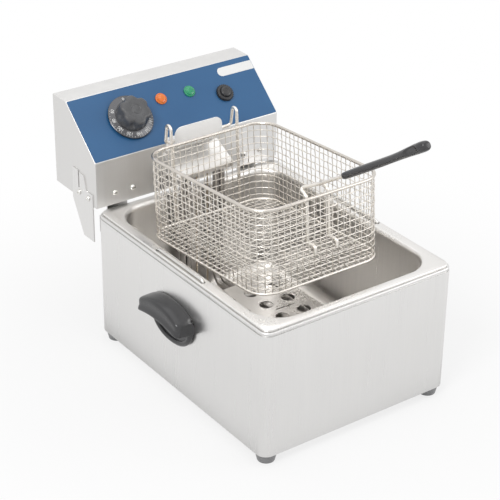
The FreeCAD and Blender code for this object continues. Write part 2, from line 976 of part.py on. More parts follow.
def guard_plate():
    top = guard_bottom + guard_sheet
    plate = rounded_block(guard_width, guard_length, guard_corner, guard_bottom, top)
    skirts = []
    for side in (-1, 1):
        edge = side * guard_width / 2
        x_range = sorted((edge, edge - side * guard_sheet))
        y_half = guard_length / 2 - guard_corner
        skirts.append(box(x_range, (-y_half, y_half), (guard_bottom - guard_skirt, guard_bottom)))
    plate = plate.fuse(skirts)
    cuts = []
    for column in range(guard_columns):
        for row in range(guard_rows):
            x = (column - (guard_columns - 1) / 2) * guard_pitch
            y = (row - (guard_rows - 1) / 2) * guard_pitch
            start = vec(x, y, guard_bottom - guard_sheet)
            cuts.append(flat_sided_pin(guard_hole_radius, 3 * guard_sheet, start, UP, hole_sides))
    for side in (-1, 1):
        for end in (-1, 1):
            x = side * 1.5 * guard_pitch
            y = end * guard_pitch
            half = guard_slit_length / 2
            wide = guard_slit_width / 2
            z_range = (guard_bottom - guard_sheet, top + guard_sheet)
            cuts.append(box((x - half, x + half), (y - wide, y + wide), z_range))
    return plate.cut(cuts).removeSplitter()


def basket_point(x, y, z):
    """Place of a point of the basket, drawn about its rim's middle, in the fryer."""
    tilt = FreeCAD.Rotation(RIGHT, basket_tilt)
    return vec(0, basket_middle_y, basket_rise) + tilt.multVec(vec(x, y, z))


def crossbar_middle():
    return basket_point(0, hook_leg_y() + hook_reach, -hook_crossbar_drop)


def hook_leg_y():
    return basket_length / 2 + rim_radius + hook_wire / 2


def hood_lip_y():
    """The basket's rear net leans on the hood's lip, so the lip's place follows the net."""
    level = head_bottom + hood_lip_rise
    high = basket_point(0, basket_length / 2 + net_sheet / 2, 0)
    low = basket_point(0, basket_length / 2 + net_sheet / 2, -basket_height)
    share = (high.z - level) / (high.z - low.z)
    return high.y + (low.y - high.y) * share + hood_basket_gap


def element_hood():
    """Sloping cover over the risers with a front lip, side walls and a flange on the head."""
    flange_face = head_front - hood_sheet
    slope_top = head_bottom + hood_rise
    lip_front = hood_lip_y()
    lip_top = head_bottom + hood_lip_rise
    lip_bottom = lip_top - hood_lip
    points = [
        (lip_front, lip_bottom),
        (lip_front, lip_top),
        (flange_face, slope_top),
        (flange_face, slope_top + hood_flange),
    ]
    cover = folded_sheet(points, -hood_sheet, (-hood_half_width, hood_half_width))
    walls = []
    for side in (-1, 1):
        outline = [
            (lip_front + hood_sheet, lip_bottom),
            (lip_front + hood_sheet, lip_top),
            (flange_face, slope_top - hood_sheet),
            (head_front, slope_top - hood_sheet),
            (head_front, lip_bottom),
        ]
        x = side * hood_half_width
        wall = face_of([vec(x, y, z) for y, z in outline])
        walls.append(wall.extrude(RIGHT * -side * hood_sheet))
    holes = [screw_hole(place, REAR, 6 * sheet) for place in hanger_screw_places()]
    return cover.fuse(walls).cut(holes).removeSplitter()


def basket_hanger():
    """Flange on the head, a shelf under the crossbar and an upright plate in front of it."""
    bar = crossbar_middle()
    shelf_top = bar.z - hook_wire / 2 - hanger_clearance
    plate_rear = bar.y - hook_wire / 2 - hanger_clearance
    flange_front = head_front - hood_sheet - hanger_sheet
    top = shelf_top + hanger_height
    half = hanger_half_width
    points = [
        (flange_front, head_bottom + hanger_flange_rise),
        (flange_front, shelf_top - hanger_sheet),
        (plate_rear - hanger_sheet, shelf_top - hanger_sheet),
        (plate_rear - hanger_sheet, top),
    ]
    bracket = folded_sheet(points, -hanger_sheet, (-half, half))
    corners = []
    for side in (-1, 1):
        x_range = sorted((side * half, side * (half - hanger_corner)))
        y_range = (plate_rear - 2 * hanger_sheet, plate_rear + hanger_sheet)
        square = box(x_range, y_range, (top - hanger_corner, top))
        centre = vec(side * (half - hanger_corner), plate_rear - 2 * hanger_sheet, top - hanger_corner)
        corners.append(square.cut(Part.makeCylinder(hanger_corner, 4 * hanger_sheet, centre, REAR)))
    holes = [screw_hole(place, REAR, 6 * sheet) for place in hanger_screw_places()]
    return bracket.cut(corners + holes)


def control_body():
    """Switch body behind the panel, with its top on the Z axis at height zero."""
    return rounded_block(body_side, body_side, body_corner, -body_height, 0)


def thermostat_body():
    body = control_body()
    body.translate(UP * -sheet)
    bush = flat_sided_pin(bush_radius, bush_length + sheet, vec(0, 0, -sheet), UP, round_sides)
    bore = Part.makeCylinder(shaft_radius + shaft_clearance, shaft_tail + bush_length, vec(0, 0, -shaft_tail))
    return on_panel(body.fuse(bush).cut(bore), knob_spot)


def cutout_body():
    body = control_body()
    body.translate(UP * -reset_neck_length)
    return on_panel(body, reset_spot)


def capillary(x, spot, body_top):
    """Bulb under the guard plate and its capillary, up the riser and back to the switch body."""
    back = panel_point(spot, body_top - body_height)
    lead = panel_point(spot, body_top - body_height - capillary_lead)
    level = guard_bottom - bulb_radius
    bulb_front = riser_y - 2 * tube_bend - bulb_length
    bulb = flat_sided_pin(bulb_radius, bulb_length, vec(x, bulb_front, level), REAR, wire_sides)
    points = [
        vec(x, bulb_front + bulb_length, level),
        vec(x, riser_y, level),
        vec(x, riser_y, element_entry),
        vec(x, lead.y, element_entry),
        vec(spot[0], lead.y, element_entry),
        lead,
        back,
    ]
    return bulb.fuse(bent_wire(points, capillary_radius, capillary_bend))


def thermostat_bulb():
    return capillary(-bulb_spot_x, knob_spot, -sheet)


def cutout_bulb():
    return capillary(bulb_spot_x, reset_spot, -reset_neck_length)


def lamp(spot):
    low = label_sheet
    high = label_sheet + lamp_height
    profile = [
        (0, -lamp_neck_length),
        (lamp_neck_radius, -lamp_neck_length),
        (lamp_neck_radius, low),
        (lamp_radius, low),
        (lamp_radius, high - lamp_edge),
        (lamp_radius - lamp_edge, high),
        (0, high),
    ]
    return on_panel(turned(profile, round_outline(round_sides)), spot)


def reset_bezel():
    high = label_sheet + reset_bezel_height
    bore = reset_button_radius + reset_clearance
    profile = [
        (bore, -reset_neck_length),
        (reset_neck_radius, -reset_neck_length),
        (reset_neck_radius, label_sheet),
        (reset_bezel_radius, label_sheet),
        (reset_bezel_radius, high - lamp_edge),
        (reset_bezel_radius - lamp_edge, high),
        (bore, high),
    ]
    return on_panel(turned(profile, round_outline(round_sides)), reset_spot)


def reset_button():
    profile = [
        (0, -reset_button_tail),
        (reset_button_radius, -reset_button_tail),
        (reset_button_radius, reset_button_rise - reset_button_dome),
        (reset_button_radius - reset_button_dome, reset_button_rise),
        (0, reset_button_rise),
    ]
    return on_panel(turned(profile, round_outline(round_sides)), reset_spot)


def dial_skirt():
    low = label_sheet + skirt_lift
    high = low + skirt_height
    profile = [
        (hub_radius, low),
        (skirt_radius, low),
        (skirt_radius, low + skirt_edge),
        (knob_radius, high),
        (hub_radius, high),
    ]
    return on_panel(turned(profile, round_outline(2 * round_sides)), knob_spot)


def fluted_outline():
    """Outline of radius one with evenly spaced finger scoops."""
    depth = knob_scallop_depth / knob_radius
    count = knob_scallops * knob_steps
    points = []
    for step in range(count):
        turn = 2 * math.pi * step / count
        radius = 1 - depth * (1 + math.cos(knob_scallops * turn)) / 2
        points.append((radius * math.cos(turn), radius * math.sin(turn)))
    return points


def thermostat_knob():
    """Scooped knob that stands on the skirt and holds the shaft."""
    low = label_sheet + skirt_lift
    seat = low + skirt_height
    high = seat + knob_height
    outside = [
        (0, seat),
        (knob_radius, seat),
        (knob_top_radius, high - knob_edge),
        (knob_top_radius - knob_edge, high),
        (knob_dish_radius, high),
        (knob_dish_radius - knob_dish_depth, high - knob_dish_depth),
        (0, high - knob_dish_depth),
    ]
    knob = turned(outside, fluted_outline())
    hub = flat_sided_pin(hub_radius, skirt_height, vec(0, 0, low), UP, 2 * round_sides)
    bore = Part.makeCylinder(shaft_radius, shaft_hold + skirt_height, vec(0, 0, low))
    return on_panel(knob.fuse(hub).cut(bore), knob_spot)


def thermostat_shaft():
    high = label_sheet + skirt_lift + skirt_height + shaft_hold
    low = shaft_clearance - shaft_tail
    shaft = Part.makeCylinder(shaft_radius, high - low, vec(0, 0, low))
    return on_panel(shaft, knob_spot)


def terminal_block():
    width, depth, height = block_size
    x = block_spot[0]
    y = head_back - block_spot[1]
    low = head_bottom + sheet
    block = box((x - width / 2, x + width / 2), (y - depth / 2, y + depth / 2), (low, low + height))
    grooves = []
    for share in (-0.25, 0.25):
        middle = x + share * width
        x_range = (middle - block_groove / 2, middle + block_groove / 2)
        grooves.append(box(x_range, (y - depth / 2, y + depth / 2), (low + height / 2, low + height)))
    return block.cut(grooves)


def cord_gland():
    """Ribbed bush for the cord in the back cover."""
    profile = [
        (gland_bore_radius, -gland_tail),
        (gland_neck_radius, -gland_tail),
        (gland_neck_radius, 0),
        (gland_radius, 0),
        (gland_radius, gland_collar),
        (gland_neck_radius, gland_reach),
        (gland_bore_radius, gland_reach),
    ]
    gland = turned(profile, round_outline(round_sides))
    place = vec(gland_spot_x, head_back, head_bottom + gland_rise)
    gland.Placement = FreeCAD.Placement(place, FreeCAD.Rotation(RIGHT, -90))
    return gland


# Basket pieces, drawn about the rim's middle


def in_basket(shape):
    moved = shape.copy()
    tilt = FreeCAD.Rotation(RIGHT, basket_tilt)
    moved.Placement = FreeCAD.Placement(vec(0, basket_middle_y, basket_rise), tilt).multiply(shape.Placement)
    return moved


def grid(width, height, rows):
    """Low and high corners of the gaps of a net of the given size, centred in both ways."""
    columns = round((width - net_bar) / net_step)
    step_across = (width - net_bar) / columns
    step_up = (height - net_bar) / rows
    gaps = []
    for column in range(columns):
        for row in range(rows):
            low_across = net_bar + column * step_across - width / 2
            low_up = net_bar + row * step_up - height / 2
            high_across = low_across + step_across - net_bar
            high_up = low_up + step_up - net_bar
            gaps.append((low_across, low_up, high_across, high_up))
    return gaps


def rectangle(low_x, low_y, high_x, high_y):
    points = [vec(low_x, low_y, 0), vec(high_x, low_y, 0), vec(high_x, high_y, 0), vec(low_x, high_y, 0)]
    return Part.makePolygon(points + points[:1])


def holed_plate(outline, gaps):
    wires = [outline] + [rectangle(*gap) for gap in gaps]
    face = Part.makeFace(wires, "Part::FaceMakerBullseye")
    face.translate(UP * (-net_sheet / 2))
    return face.extrude(UP * net_sheet)


def wall_net(run):
    """Flat net of one basket wall, lying on the XY plane with its top towards +Y."""
    height = net_height()
    return holed_plate(rectangle(-run / 2, -height / 2, run / 2, height / 2), grid(run, height, net_rows))


def net_height():
    return basket_height - rim_radius - base_wire_radius


def net_middle():
    return -rim_radius - net_height() / 2


def stood_up(net, turn, place):
    """Stand a net upright and turn it about the vertical."""
    net.Placement = FreeCAD.Placement(place, FreeCAD.Rotation(UP, turn) * FreeCAD.Rotation(RIGHT, 90))
    return in_basket(net)


def basket_net_walls():
    across = wall_net(basket_width - 2 * basket_corner)
    along = wall_net(basket_length - 2 * basket_corner)
    level = net_middle()
    return {
        "basket_net_front": stood_up(across.copy(), 0, vec(0, -basket_length / 2, level)),
        "basket_net_rear": stood_up(across.copy(), 180, vec(0, basket_length / 2, level)),
        "basket_net_left": stood_up(along.copy(), -90, vec(-basket_width / 2, 0, level)),
        "basket_net_right": stood_up(along.copy(), 90, vec(basket_width / 2, 0, level)),
    }


def corner_net():
    """Quarter of a net about the Z axis, folded into flat facets with a bar at each fold."""
    half_turn = math.radians(45 / corner_facets)
    height = net_height()
    step_up = (height - net_bar) / net_rows
    folds = [(math.cos(2 * half_turn * fold), math.sin(2 * half_turn * fold)) for fold in range(corner_facets + 1)]
    inner = [vec(x, y, 0) * (basket_corner - net_sheet / 2) for x, y in folds]
    outer = [vec(x, y, 0) * (basket_corner + net_sheet / 2) for x, y in folds]
    net = face_of(inner + outer[::-1]).extrude(UP * height)
    flat = basket_corner * math.cos(half_turn)
    half_gap = basket_corner * math.sin(half_turn) - net_bar / 2
    gaps = []
    for facet in range(corner_facets):
        for row in range(net_rows):
            low = net_bar + row * step_up
            z_range = (low, low + step_up - net_bar)
            gap = box((flat - net_sheet, flat + net_sheet), (-half_gap, half_gap), z_range)
            gap.rotate(vec(0, 0, 0), UP, math.degrees(half_turn) * (2 * facet + 1))
            gaps.append(gap)
    net = net.cut(gaps)
    net.translate(UP * (-height / 2))
    return net


def basket_net_corners():
    x = basket_width / 2 - basket_corner
    y = basket_length / 2 - basket_corner
    places = [("rear_right", x, y), ("rear_left", -x, y), ("front_left", -x, -y), ("front_right", x, -y)]
    nets = {}
    for turn, (name, across, along) in enumerate(places):
        net = corner_net()
        net.rotate(vec(0, 0, 0), UP, 90 * turn)
        net.translate(vec(across, along, net_middle()))
        nets["basket_net_" + name] = in_basket(net)
    return nets


def basket_net_floor():
    """Flat net inside the base wire, folded at its corners as the wire is."""
    inset = base_wire_radius + net_fit
    x = basket_width / 2 - inset
    y = basket_length / 2 - inset
    corner = basket_corner - inset
    run = bent_run([vec(x, y, 0), vec(-x, y, 0), vec(-x, -y, 0), vec(x, -y, 0)], corner, True)
    gaps = []
    for gap in grid(2 * x, 2 * y, round((2 * y - net_bar) / net_step)):
        far_x = max(abs(gap[0]), abs(gap[2])) - (x - corner)
        far_y = max(abs(gap[1]), abs(gap[3])) - (y - corner)
        outside = far_x > 0 and far_y > 0 and math.hypot(far_x, far_y) > corner - 2 * net_bar
        if not outside:
            gaps.append(gap)
    plate = holed_plate(Part.makePolygon(run + run[:1]), gaps)
    plate.translate(UP * -basket_height)
    return in_basket(plate)


def basket_rim():
    return in_basket(wire_ring(basket_width, basket_length, basket_corner, rim_radius))


def basket_base_wire():
    ring = wire_ring(basket_width, basket_length, basket_corner, base_wire_radius)
    ring.translate(UP * -basket_height)
    return in_basket(ring)


def basket_hook():
    """Two loops that rise behind the rear wall and are joined by a crossbar."""
    leg = hook_leg_y()
    side = [
        vec(hook_half_width, leg, hook_foot_lift - basket_height),
        vec(hook_half_width, leg, hook_rise),
        vec(hook_half_width, leg + hook_top_reach, hook_rise),
        vec(hook_half_width, leg + hook_reach, -hook_crossbar_drop),
    ]
    other = [vec(-point.x, point.y, point.z) for point in reversed(side)]
    return in_basket(bent_wire(side + other, hook_wire / 2, hook_bend))


def grip_axis():
    start = vec(0, grip_start_y, grip_start_z)
    return start, vec(0, grip_tip_y, grip_tip_z) - start


def handle_wire_path():
    """Toes hooked over a bar of the front net, legs inside it, a kink at the rim and a neck into the grip."""
    wall_y = -basket_length / 2
    leg_y = wall_y + rim_radius + handle_wire / 2 + handle_inset
    toe_y = wall_y - net_sheet / 2 - handle_wire / 2 - handle_toe
    row_step = (net_height() - net_bar) / net_rows
    low = handle_wire / 2 - rim_radius - handle_toe_row * row_step
    start, run = grip_axis()
    inside = start + run.normalize() * grip_insert
    side = [
        vec(handle_half_width, toe_y, low - handle_toe_drop),
        vec(handle_half_width, toe_y, low),
        vec(handle_half_width, leg_y, low),
        vec(handle_half_width, leg_y, handle_kink_rise - handle_wire),
        vec(handle_half_width, leg_y + handle_kink, handle_kink_rise),
        vec(handle_neck_half, handle_neck_y, handle_neck_z),
        vec(handle_neck_half, start.y, start.z),
        vec(handle_neck_half, inside.y, inside.z),
    ]
    return side + [vec(-point.x, point.y, point.z) for point in reversed(side)]


def basket_handle_wire():
    return in_basket(bent_wire(handle_wire_path(), handle_wire / 2, handle_bend))


def basket_grip():
    """Moulded grip that grows wider and flatter towards its tip."""
    start, run = grip_axis()
    length = run.Length
    ways = run.normalize()
    flat = RIGHT.cross(ways)
    rings = []
    for share, half_width, half_height in grip_sections:
        middle = start + ways * (share * length)
        ring = []
        for x, y in round_outline(grip_sides):
            ring.append(middle + RIGHT * (half_width * x) + flat * (half_height * y))
        rings.append(ring)
    grip = skinned(rings, False)
    hole_middle = start + ways * (grip_hole_place * length)
    reach = 4 * grip_hole_radius
    hole = flat_sided_pin(grip_hole_radius, 2 * reach, hole_middle - flat * reach, flat, round_sides)
    wire = bent_wire(handle_wire_path(), handle_wire / 2, handle_bend)
    return in_basket(grip.cut([hole, wire]))


def all_pieces():
    pieces = {
        "cabinet_wrap": cabinet_wrap(),
        "cabinet_rear_panel": cabinet_rear_panel(),
        "cabinet_base": cabinet_base(),
        "foot_screws": foot_screws(),
        "side_handle_left": side_handle(),
        "side_handle_right": mirrored(side_handle()),
        "side_handle_screws": side_handle_screws(),
        "oil_tank": oil_tank(),
        "head_keeper_left": head_keeper(),
        "head_keeper_right": mirrored(head_keeper()),
        "tank_bail_left": tank_bail(),
        "tank_bail_right": mirrored(tank_bail()),
        "head_shell": head_shell(),
        "head_back_cover": head_back_cover(),
        "back_cover_screws": back_cover_screws(),
        "head_base": head_base(),
        "control_label": control_label(),
        "head_screws": head_screws(),
        "head_cheek_left": head_cheek(),
        "head_cheek_right": mirrored(head_cheek()),
        "hook_tongue_left": hook_tongue(),
        "hook_tongue_right": mirrored(hook_tongue()),
        "heating_element": heating_element(),
        "element_flange": element_flange(),
        "guard_plate": guard_plate(),
        "element_hood": element_hood(),
        "basket_hanger": basket_hanger(),
        "thermostat_body": thermostat_body(),
        "thermostat_bulb": thermostat_bulb(),
        "cutout_body": cutout_body(),
        "cutout_bulb": cutout_bulb(),
        "lamp_orange": lamp(orange_spot),
        "lamp_green": lamp(green_spot),
        "reset_bezel": reset_bezel(),
        "reset_button": reset_button(),
        "dial_skirt": dial_skirt(),
        "thermostat_knob": thermostat_knob(),
        "thermostat_shaft": thermostat_shaft(),
        "terminal_block": terminal_block(),
        "cord_gland": cord_gland(),
        "basket_rim": basket_rim(),
        "basket_base_wire": basket_base_wire(),
        "basket_net_floor": basket_net_floor(),
        "basket_hook": basket_hook(),
        "basket_handle_wire": basket_handle_wire(),
        "basket_grip": basket_grip(),
    }
    for name, spot in foot_spots().items():
        pieces["foot_" + name] = foot(spot)
    pieces.update(basket_net_walls())
    pieces.update(basket_net_corners())
    return pieces


def save_all():
    pieces = all_pieces()
    whole = Part.makeCompound(list(pieces.values())).optimalBoundingBox(False, False)
    to_middle = vec(0, -(whole.YMin + whole.YMax) / 2, 0)
    os.makedirs("parts", exist_ok=True)
    for name, shape in pieces.items():
        shape.translate(to_middle)
        shape.exportStep("parts/" + name + ".step")


save_all()
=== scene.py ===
import bpy
import bmesh
import json
import math
from mathutils import Matrix, Vector


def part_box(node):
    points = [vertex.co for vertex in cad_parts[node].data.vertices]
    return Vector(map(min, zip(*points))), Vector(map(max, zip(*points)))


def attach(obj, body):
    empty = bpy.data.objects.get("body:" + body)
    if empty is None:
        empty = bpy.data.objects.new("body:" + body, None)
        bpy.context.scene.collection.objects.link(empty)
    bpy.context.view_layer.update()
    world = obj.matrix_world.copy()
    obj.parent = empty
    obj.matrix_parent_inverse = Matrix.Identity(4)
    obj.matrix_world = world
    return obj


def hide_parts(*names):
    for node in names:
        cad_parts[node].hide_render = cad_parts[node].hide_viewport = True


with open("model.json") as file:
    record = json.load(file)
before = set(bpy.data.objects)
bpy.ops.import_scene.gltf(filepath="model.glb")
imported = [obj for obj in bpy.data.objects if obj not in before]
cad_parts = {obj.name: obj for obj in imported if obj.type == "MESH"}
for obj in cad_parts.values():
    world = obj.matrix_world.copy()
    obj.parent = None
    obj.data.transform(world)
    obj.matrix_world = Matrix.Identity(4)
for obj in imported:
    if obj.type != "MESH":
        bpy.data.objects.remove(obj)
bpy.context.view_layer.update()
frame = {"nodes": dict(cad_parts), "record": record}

# Sizes in millimetres, and places from the cabinet's middle on the floor, unless a comment says otherwise

MM = 0.001
ENDS = (-1, 1)
SIDES = ((-1, "left"), (1, "right"))
base_low, base_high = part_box("cabinet_base")
SHIFT = (base_low[1] + base_high[1]) / 2

CABINET_WIDE, CABINET_LONG, CABINET_CORNER = 265.0, 342.0, 13.0
CABINET_WALL = CABINET_WIDE / 2
REAR_OPENING = 119.5
TANK_WIDE, TANK_LONG, TANK_CORNER, TANK_SHEET = 230.0, 310.0, 36.0, 1.2
FLANGE_WIDE, FLANGE_LONG, FLANGE_LOW, FLANGE_MIDDLE = 259.0, 336.0, 170.6, 173.0
FOOT_X, FOOT_Y = 117.7, 156.2
BAIL_X, BAIL_FRONT, BAIL_REAR, BAIL_TOP = 124.5, -43.5, 46.5, 176.3
FRAME_WIRE = 2.0

HEAD_FRONT, HEAD_LOW, HEAD_FOLD, HEAD_HALF = 168.1, 177.5, 236.9, 133.0
SLOPE_LONG, ROOF_LONG = 85.6, 30.2
TILT = math.radians(41.3)
HEAD_RIDGE = HEAD_FRONT + SLOPE_LONG * math.cos(TILT)
HEAD_BACK = HEAD_RIDGE + ROOF_LONG
HEAD_TOP = HEAD_FOLD + SLOPE_LONG * math.sin(TILT)

# Places on the panel: across from its middle, and up the slope from its lower fold
DIAL_SPOT = (-63.5, 44.0)
LAMP_SPOTS = {"orange": (-12.6, 57.5), "green": (29.0, 57.4)}
RESET_SPOT = (74.5, 43.0)
LABEL_THICK = 0.5

# The basket's own places are about the middle of its rim
RIM_Y, RIM_LEVEL, BASKET_TILT = 19.5, 259.4, math.radians(-4.2)
WIDE, LONG, CORNER, DEEP = 174.0, 228.0, 27.0, 100.0


def at(x, y, z):
    """A point given in millimetres about the cabinet's middle, in the row frame in metres."""
    return Vector((x * MM, y * MM + SHIFT, z * MM))


PANEL = Matrix.Translation(at(0, HEAD_FRONT, HEAD_FOLD)) @ Matrix.Rotation(TILT, 4, "X")
BASKET = Matrix.Translation(at(0, RIM_Y, RIM_LEVEL)) @ Matrix.Rotation(BASKET_TILT, 4, "X")


def on_panel(x, up, lift=0.0):
    """Matrix of a place on the panel, its Z axis out of the slope."""
    return PANEL @ Matrix.Translation((x * MM, up * MM, lift * MM))


def in_basket(points):
    return [BASKET @ (Vector(p) * MM) for p in points]


def mirrored(points):
    return [(-x, y, z) for x, y, z in points]


def ramp(value, start, length):
    """Zero up to start, and from there up to one over a length."""
    return min(max((value - start) / length, 0.0), 1.0)


def blunt(value, power):
    """A power that keeps the sign, for ovals with fuller corners."""
    return math.copysign(abs(value) ** power, value)


# Materials: how rough the noise is, which part of it the tint and gloss span, and how deep its dents are

NOISE_ROUGH, NOISE_LOW, NOISE_HIGH, DENT_DEEP = 0.55, 0.3, 0.7, 0.1


def even(scale):
    return (scale, scale, scale)


def material(name, colour, metallic, rough, grain=even(900), cloud=even(25), fine_share=0.5, spread=0.08,
             dark=None, pale=None, rough_spread=0.2, bump=0.15, sockets=None):
    """Principled surface whose colour, roughness and bump come from noise at the scale of the real finish."""
    m = bpy.data.materials.new(name)
    m.use_nodes = True
    nodes = m.node_tree.nodes
    link = m.node_tree.links.new
    shader = nodes["Principled BSDF"]
    shader.inputs["Metallic"].default_value = metallic
    for socket, value in (sockets or {}).items():
        shader.inputs[socket].default_value = value
    where = nodes.new("ShaderNodeTexCoord")

    def noise(scale, detail):
        stretch = nodes.new("ShaderNodeMapping")
        stretch.inputs["Scale"].default_value = scale
        link(where.outputs["Object"], stretch.inputs["Vector"])
        texture = nodes.new("ShaderNodeTexNoise")
        texture.inputs["Scale"].default_value = 1.0
        texture.inputs["Detail"].default_value = detail
        texture.inputs["Roughness"].default_value = NOISE_ROUGH
        link(stretch.outputs["Vector"], texture.inputs["Vector"])
        return texture.outputs["Fac"]

    # Fine grain and broad clouds in one value, which sets both the tint and the gloss
    fine = noise(grain, 3.0)
    broad = noise(cloud, 2.0)
    both = nodes.new("ShaderNodeMath")
    both.operation = "MULTIPLY_ADD"
    both.inputs[1].default_value = fine_share
    link(fine, both.inputs[0])
    rest = nodes.new("ShaderNodeMath")
    rest.operation = "MULTIPLY"
    rest.inputs[1].default_value = 1 - fine_share
    link(broad, rest.inputs[0])
    link(rest.outputs[0], both.inputs[2])
    tint = nodes.new("ShaderNodeValToRGB")
    tint.color_ramp.elements[0].position = NOISE_LOW
    tint.color_ramp.elements[1].position = NOISE_HIGH
    dark = dark or [c * (1 - spread) for c in colour]
    pale = pale or [min(1.0, c * (1 + spread)) for c in colour]
    tint.color_ramp.elements[0].color = (*dark, 1)
    tint.color_ramp.elements[1].color = (*pale, 1)
    link(both.outputs[0], tint.inputs["Fac"])
    link(tint.outputs["Color"], shader.inputs["Base Color"])
    gloss = nodes.new("ShaderNodeMapRange")
    gloss.inputs["From Min"].default_value = NOISE_LOW
    gloss.inputs["From Max"].default_value = NOISE_HIGH
    gloss.inputs["To Min"].default_value = rough * (1 - rough_spread)
    gloss.inputs["To Max"].default_value = rough * (1 + rough_spread)
    link(both.outputs[0], gloss.inputs["Value"])
    link(gloss.outputs["Result"], shader.inputs["Roughness"])
    dents = nodes.new("ShaderNodeBump")
    dents.inputs["Strength"].default_value = bump
    dents.inputs["Distance"].default_value = DENT_DEEP * MM
    link(fine, dents.inputs["Height"])
    link(dents.outputs["Normal"], shader.inputs["Normal"])
    return m


LENS = {"Coat Weight": 0.6, "Subsurface Weight": 0.25, "Subsurface Scale": 0.003}
MATS = {
    "steel_sheet": material(
        "brushed_steel", (0.745, 0.738, 0.728), 1.0, 0.31,
        grain=(650, 650, 9), cloud=(60, 60, 4), spread=0.025, bump=0.02, fine_share=0.6),
    "head_steel": material(
        "head_steel", (0.72, 0.713, 0.703), 1.0, 0.43,
        grain=(650, 650, 9), cloud=(60, 60, 4), spread=0.025, bump=0.02, fine_share=0.6),
    "flange_steel": material(
        "flange_steel", (0.80, 0.785, 0.765), 1.0, 0.30,
        grain=even(500), cloud=even(14), spread=0.025, bump=0.02),
    "dark_steel": material(
        "plain_steel", (0.60, 0.595, 0.58), 1.0, 0.34,
        grain=(500, 500, 60), cloud=(40, 40, 20), spread=0.09, bump=0.10),
    "tank_steel": material(
        "drawn_steel", (0.80, 0.78, 0.755), 1.0, 0.33,
        grain=(240, 240, 14), cloud=(18, 18, 8), spread=0.05, bump=0.03, rough_spread=0.25),
    "element_metal": material(
        "element_tube", (0.42, 0.40, 0.38), 1.0, 0.38, grain=even(700), cloud=even(35), spread=0.2),
    "bulb_metal": material(
        "bulb_metal", (0.60, 0.52, 0.42), 1.0, 0.33, grain=even(800), spread=0.12),
    "screw_steel": material("screw_steel", (0.78, 0.77, 0.74), 1.0, 0.20, grain=even(1500)),
    "bail_wire": material("bail_wire", (0.68, 0.67, 0.65), 1.0, 0.22, grain=(900, 60, 900)),
    "basket_wire": material(
        "nickel_wire", (0.84, 0.80, 0.745), 1.0, 0.30,
        grain=even(700), cloud=even(45), spread=0.07, rough_spread=0.3, bump=0.05),
    "rim_wire": material(
        "rim_wire", (0.66, 0.62, 0.57), 1.0, 0.24,
        grain=even(700), cloud=even(45), rough_spread=0.3, bump=0.05),
    "black_plastic": material(
        "black_plastic", (0.036, 0.036, 0.038), 0.0, 0.21,
        grain=even(1400), cloud=even(60), spread=0.18, bump=0.12),
    "knob_plastic": material(
        "knob_plastic", (0.085, 0.086, 0.09), 0.0, 0.27, grain=even(1400), cloud=even(70), spread=0.15),
    "collar_plastic": material(
        "collar_plastic", (0.03, 0.03, 0.032), 0.0, 0.36, grain=even(1500), spread=0.2, bump=0.2),
    "gland_rubber": material(
        "gland_rubber", (0.03, 0.03, 0.03), 0.0, 0.6, grain=even(1200), spread=0.25, bump=0.3),
    "foot_rubber": material(
        "foot_rubber", (0.24, 0.24, 0.245), 0.0, 0.5, grain=even(1100), spread=0.2, bump=0.3),
    "panel_paint": material(
        "panel_paint", (0.030, 0.120, 0.310), 0.0, 0.34, grain=even(1300), cloud=(9, 12, 12),
        dark=(0.022, 0.098, 0.232), pale=(0.032, 0.122, 0.272), fine_share=0.25, bump=0.12),
    "dial_metal": material(
        "dial_metal", (0.115, 0.115, 0.12), 1.0, 0.28, grain=even(1200), spread=0.12, bump=0.12),
    # Near-white and barely metallic: a painted reflection of bright light on a steel plate, not the steel's
    # own colour
    "hanger_painted_reflection": material(
        "hanger_painted_reflection", (0.985, 0.98, 0.97), 0.05, 0.42,
        grain=even(500), cloud=even(30), spread=0.03, bump=0.02),
    "shaft_metal": material("shaft_metal", (0.62, 0.61, 0.58), 1.0, 0.28, spread=0.1),
    "lens_orange": material(
        "lens_orange", (0.78, 0.17, 0.004), 0.0, 0.16,
        grain=even(500), spread=0.12, bump=0.03, sockets=LENS),
    "lens_green": material(
        "lens_green", (0.002, 0.29, 0.125), 0.0, 0.16,
        grain=even(500), spread=0.15, bump=0.03, sockets=LENS),
    "switch_plastic": material(
        "switch_plastic", (0.10, 0.095, 0.09), 0.0, 0.5, grain=even(1000), spread=0.2),
    "print_white": material(
        "print_white", (0.80, 0.80, 0.79), 0.0, 0.45, grain=even(1800), spread=0.05, bump=0.1),
}

# Each CAD node gets the finish of its slot, apart from two that the photo shows in another one; the hanger's
# near-white, barely metallic finish is a painted reflection of bright light on its steel
FINISH = {"basket_hanger": "hanger_painted_reflection", "element_hood": "flange_steel"}
slot_of = {part["node"]: part["material_slot"] for part in frame["record"]["subparts"]}
for name, node in frame["nodes"].items():
    node.data.materials.clear()
    node.data.materials.append(MATS[FINISH.get(name, slot_of[name])])

# Mesh building: a form is a pair of points and faces


def join(*forms):
    """Several forms as one."""
    verts, faces = [], []
    for v, f in forms:
        start = len(verts)
        verts += v
        faces += [[i + start for i in face] for face in f]
    return verts, faces


def placed(form, matrix):
    return [matrix @ Vector(v) for v in form[0]], form[1]


def form_of(mesh):
    return [v.co.copy() for v in mesh.vertices], [list(p.vertices) for p in mesh.polygons]


def mesh_of(name, form, weld=0.0):
    """A form as a mesh with outward normals, and with points closer than weld made one."""
    verts, faces = form
    mesh = bpy.data.meshes.new(name)
    mesh.from_pydata([tuple(v) for v in verts], [], faces)
    bm = bmesh.new()
    bm.from_mesh(mesh)
    if weld:
        bmesh.ops.remove_doubles(bm, verts=bm.verts, dist=weld)
    bmesh.ops.recalc_face_normals(bm, faces=bm.faces)
    bm.to_mesh(mesh)
    bm.free()
    return mesh


def in_scene(name, data):
    obj = bpy.data.objects.new(name, data)
    bpy.context.scene.collection.objects.link(obj)
    return obj


